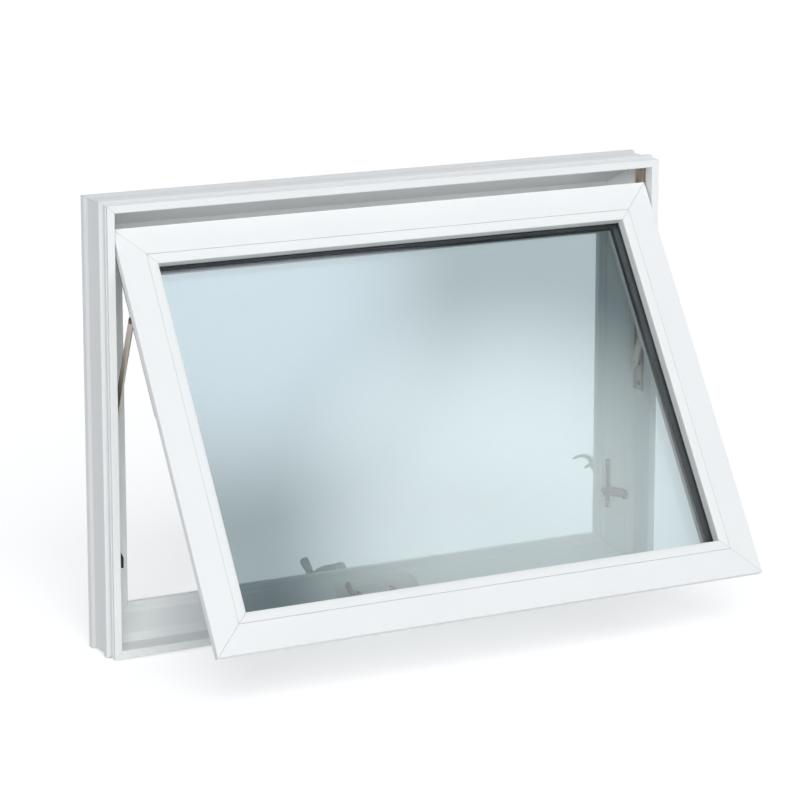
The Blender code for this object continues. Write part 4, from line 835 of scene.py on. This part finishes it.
# %% Camera
YAW = math.radians(28.07)
PITCH = math.radians(11.32)
camera_place = np.array([-1.9319, -3.6694, 1.2598])
camera_data = bpy.data.cameras.new("camera")
camera_data.sensor_width = 36.0
camera_data.lens = 143.75
camera_data.shift_y = -0.125
camera = bpy.data.objects.new("camera", camera_data)
bpy.context.scene.collection.objects.link(camera)
forward = Vector((math.sin(YAW) * math.cos(PITCH), math.cos(YAW) * math.cos(PITCH), -math.sin(PITCH)))
rightwards = Vector((math.cos(YAW), -math.sin(YAW), 0.0))
axes = Matrix((rightwards, rightwards.cross(forward), -forward)).transposed().to_4x4()
camera.matrix_world = Matrix.Translation(camera_place) @ axes
bpy.context.scene.camera = camera
print("camera", camera_place.tolist(), "lens", camera_data.lens)

# %% [markdown]
# ## A plain studio
# The floor is pale and matt, and it fills the view, so the window stands against near white. It glows
# like a light table, but its glow is kept off the window, so that undersides and hollows stay in shade.

# %% Floor
FLOOR_SIZE = 60.0
FLOOR_DROP = 0.0004
FLOOR_GLOW = 0.54
edge = FLOOR_SIZE / 2
paper, tree, sockets, where = new_finish(
    "light_table_floor", IOR=1.45, Specular_IOR_Level=0.1, Emission_Color=(1, 1, 1, 1))
diffuse_ray = tree.nodes.new("ShaderNodeLightPath").outputs["Is Diffuse Ray"]
node(tree, "ShaderNodeMapRange", None, [sockets["Emission_Strength"]], Value=diffuse_ray,
     To_Min=FLOOR_GLOW, To_Max=0.0)
fibre = node(tree, "ShaderNodeTexNoise", Vector=where["Object"], Scale=40.0, Detail=2.0)
node(tree, "ShaderNodeMix", {"data_type": "RGBA"}, [sockets["Base_Color"]], Factor_Float=fibre,
     A_Color=linear("#e4e5e6"), B_Color=linear("#dfe1e2"))
node(tree, "ShaderNodeMapRange", None, [sockets["Roughness"]], Value=fibre, To_Min=0.85, To_Max=0.95)
floor_mesh = bpy.data.meshes.new("studio_floor")
corners = [(-edge, -edge, -FLOOR_DROP), (edge, -edge, -FLOOR_DROP), (edge, edge, -FLOOR_DROP),
           (-edge, edge, -FLOOR_DROP)]
floor_mesh.from_pydata(corners, [], [(0, 1, 2, 3)])
floor_mesh.materials.append(paper)
floor = bpy.data.objects.new("studio_floor", floor_mesh)
bpy.context.scene.collection.objects.link(floor)
print("floor", FLOOR_SIZE, "m")

# %% [markdown]
# ## The sky and its soft boxes
# The sky is a dim studio that is darker to the left, so that the frame's left side falls into shade. A
# few soft boxes are part of it. Two of them stand where the camera sees them mirrored in the leaning
# glass, and that is how the glass gets its gradient. Their directions come from the mirror rule
# r = d - 2(d.n)n.

# %% Sky with soft boxes
pane_facing = np.array([0.0, -math.cos(OPEN_ANGLE), math.sin(OPEN_ANGLE)])


def mirrored(x, height):
    """Where the camera looks by way of the outer pane, at this x and height up the shut sash."""
    sight = on_sash(x, SASH_RECESS, height) - camera_place
    sight = sight / np.linalg.norm(sight)
    return sight - 2 * np.dot(sight, pane_facing) * pane_facing


behind = np.array([0.46, 0.88, 0.0])
soft_boxes = [
    # direction, half width in degrees (each fades to nothing at twice it), strength, colour
    (behind / np.linalg.norm(behind), 25.0, 0.8, "#ffffff"),
    (mirrored(0.05, 0.12), 2.3, 3.4, "#ffffff"),
    (mirrored(-0.24, 0.47), 2.0, 2.6, "#eef0ff"),
]
world = bpy.data.worlds.new("studio_sky")
bpy.context.scene.world = world
world.use_nodes = True
tree = world.node_tree
facing = tree.nodes.new("ShaderNodeTexCoord").outputs["Generated"]
sideways_part = node(tree, "ShaderNodeSeparateXYZ", Vector=facing)
level = node(tree, "ShaderNodeMapRange", Value=sideways_part, From_Min=-1.0, From_Max=0.6,
             To_Min=0.14, To_Max=0.36)
sky = node(tree, "ShaderNodeMix", {"data_type": "RGBA"}, Factor_Float=level, A_Color=(0, 0, 0, 1),
           B_Color=linear("#f2f6ff"))
for direction, half_width, strength, colour in soft_boxes:
    towards = node(tree, "ShaderNodeVectorMath", {"operation": "DOT_PRODUCT"}, Vector=facing,
                   Vector_001=direction.tolist())
    glow = node(tree, "ShaderNodeMapRange", {"interpolation_type": "SMOOTHSTEP"},
                Value=towards.outputs["Value"],
                From_Min=math.cos(math.radians(2 * half_width)), From_Max=1.0, To_Max=strength)
    box = node(tree, "ShaderNodeMix", {"data_type": "RGBA", "blend_type": "MULTIPLY"}, Factor_Float=1.0,
               A_Color=glow.outputs["Result"], B_Color=linear(colour))
    sky = node(tree, "ShaderNodeMix", {"data_type": "RGBA", "blend_type": "ADD"}, Factor_Float=1.0,
               A_Color=sky, B_Color=box)
tree.links.new(sky.outputs[2], tree.nodes["Background"].inputs["Color"])
print("soft boxes", [np.round(box[0], 2).tolist() for box in soft_boxes])

# %% [markdown]
# ## The key light
# One broad sun shines from the front, left of the window and above it. Its 45 degree spread gives the
# soft edge that shadows have under a large diffuser.

# %% Key light
SUN_SPREAD = math.radians(45)
key_data = bpy.data.lights.new("key_light", "SUN")
key_data.energy = 2.15
key_data.angle = SUN_SPREAD
key = bpy.data.objects.new("key_light", key_data)
bpy.context.scene.collection.objects.link(key)
key.rotation_euler = Vector((0.3, 0.8, -0.5)).to_track_quat("-Z", "Y").to_euler()
bpy.context.scene.view_settings.view_transform = "Standard"
print("key light", key_data.energy)
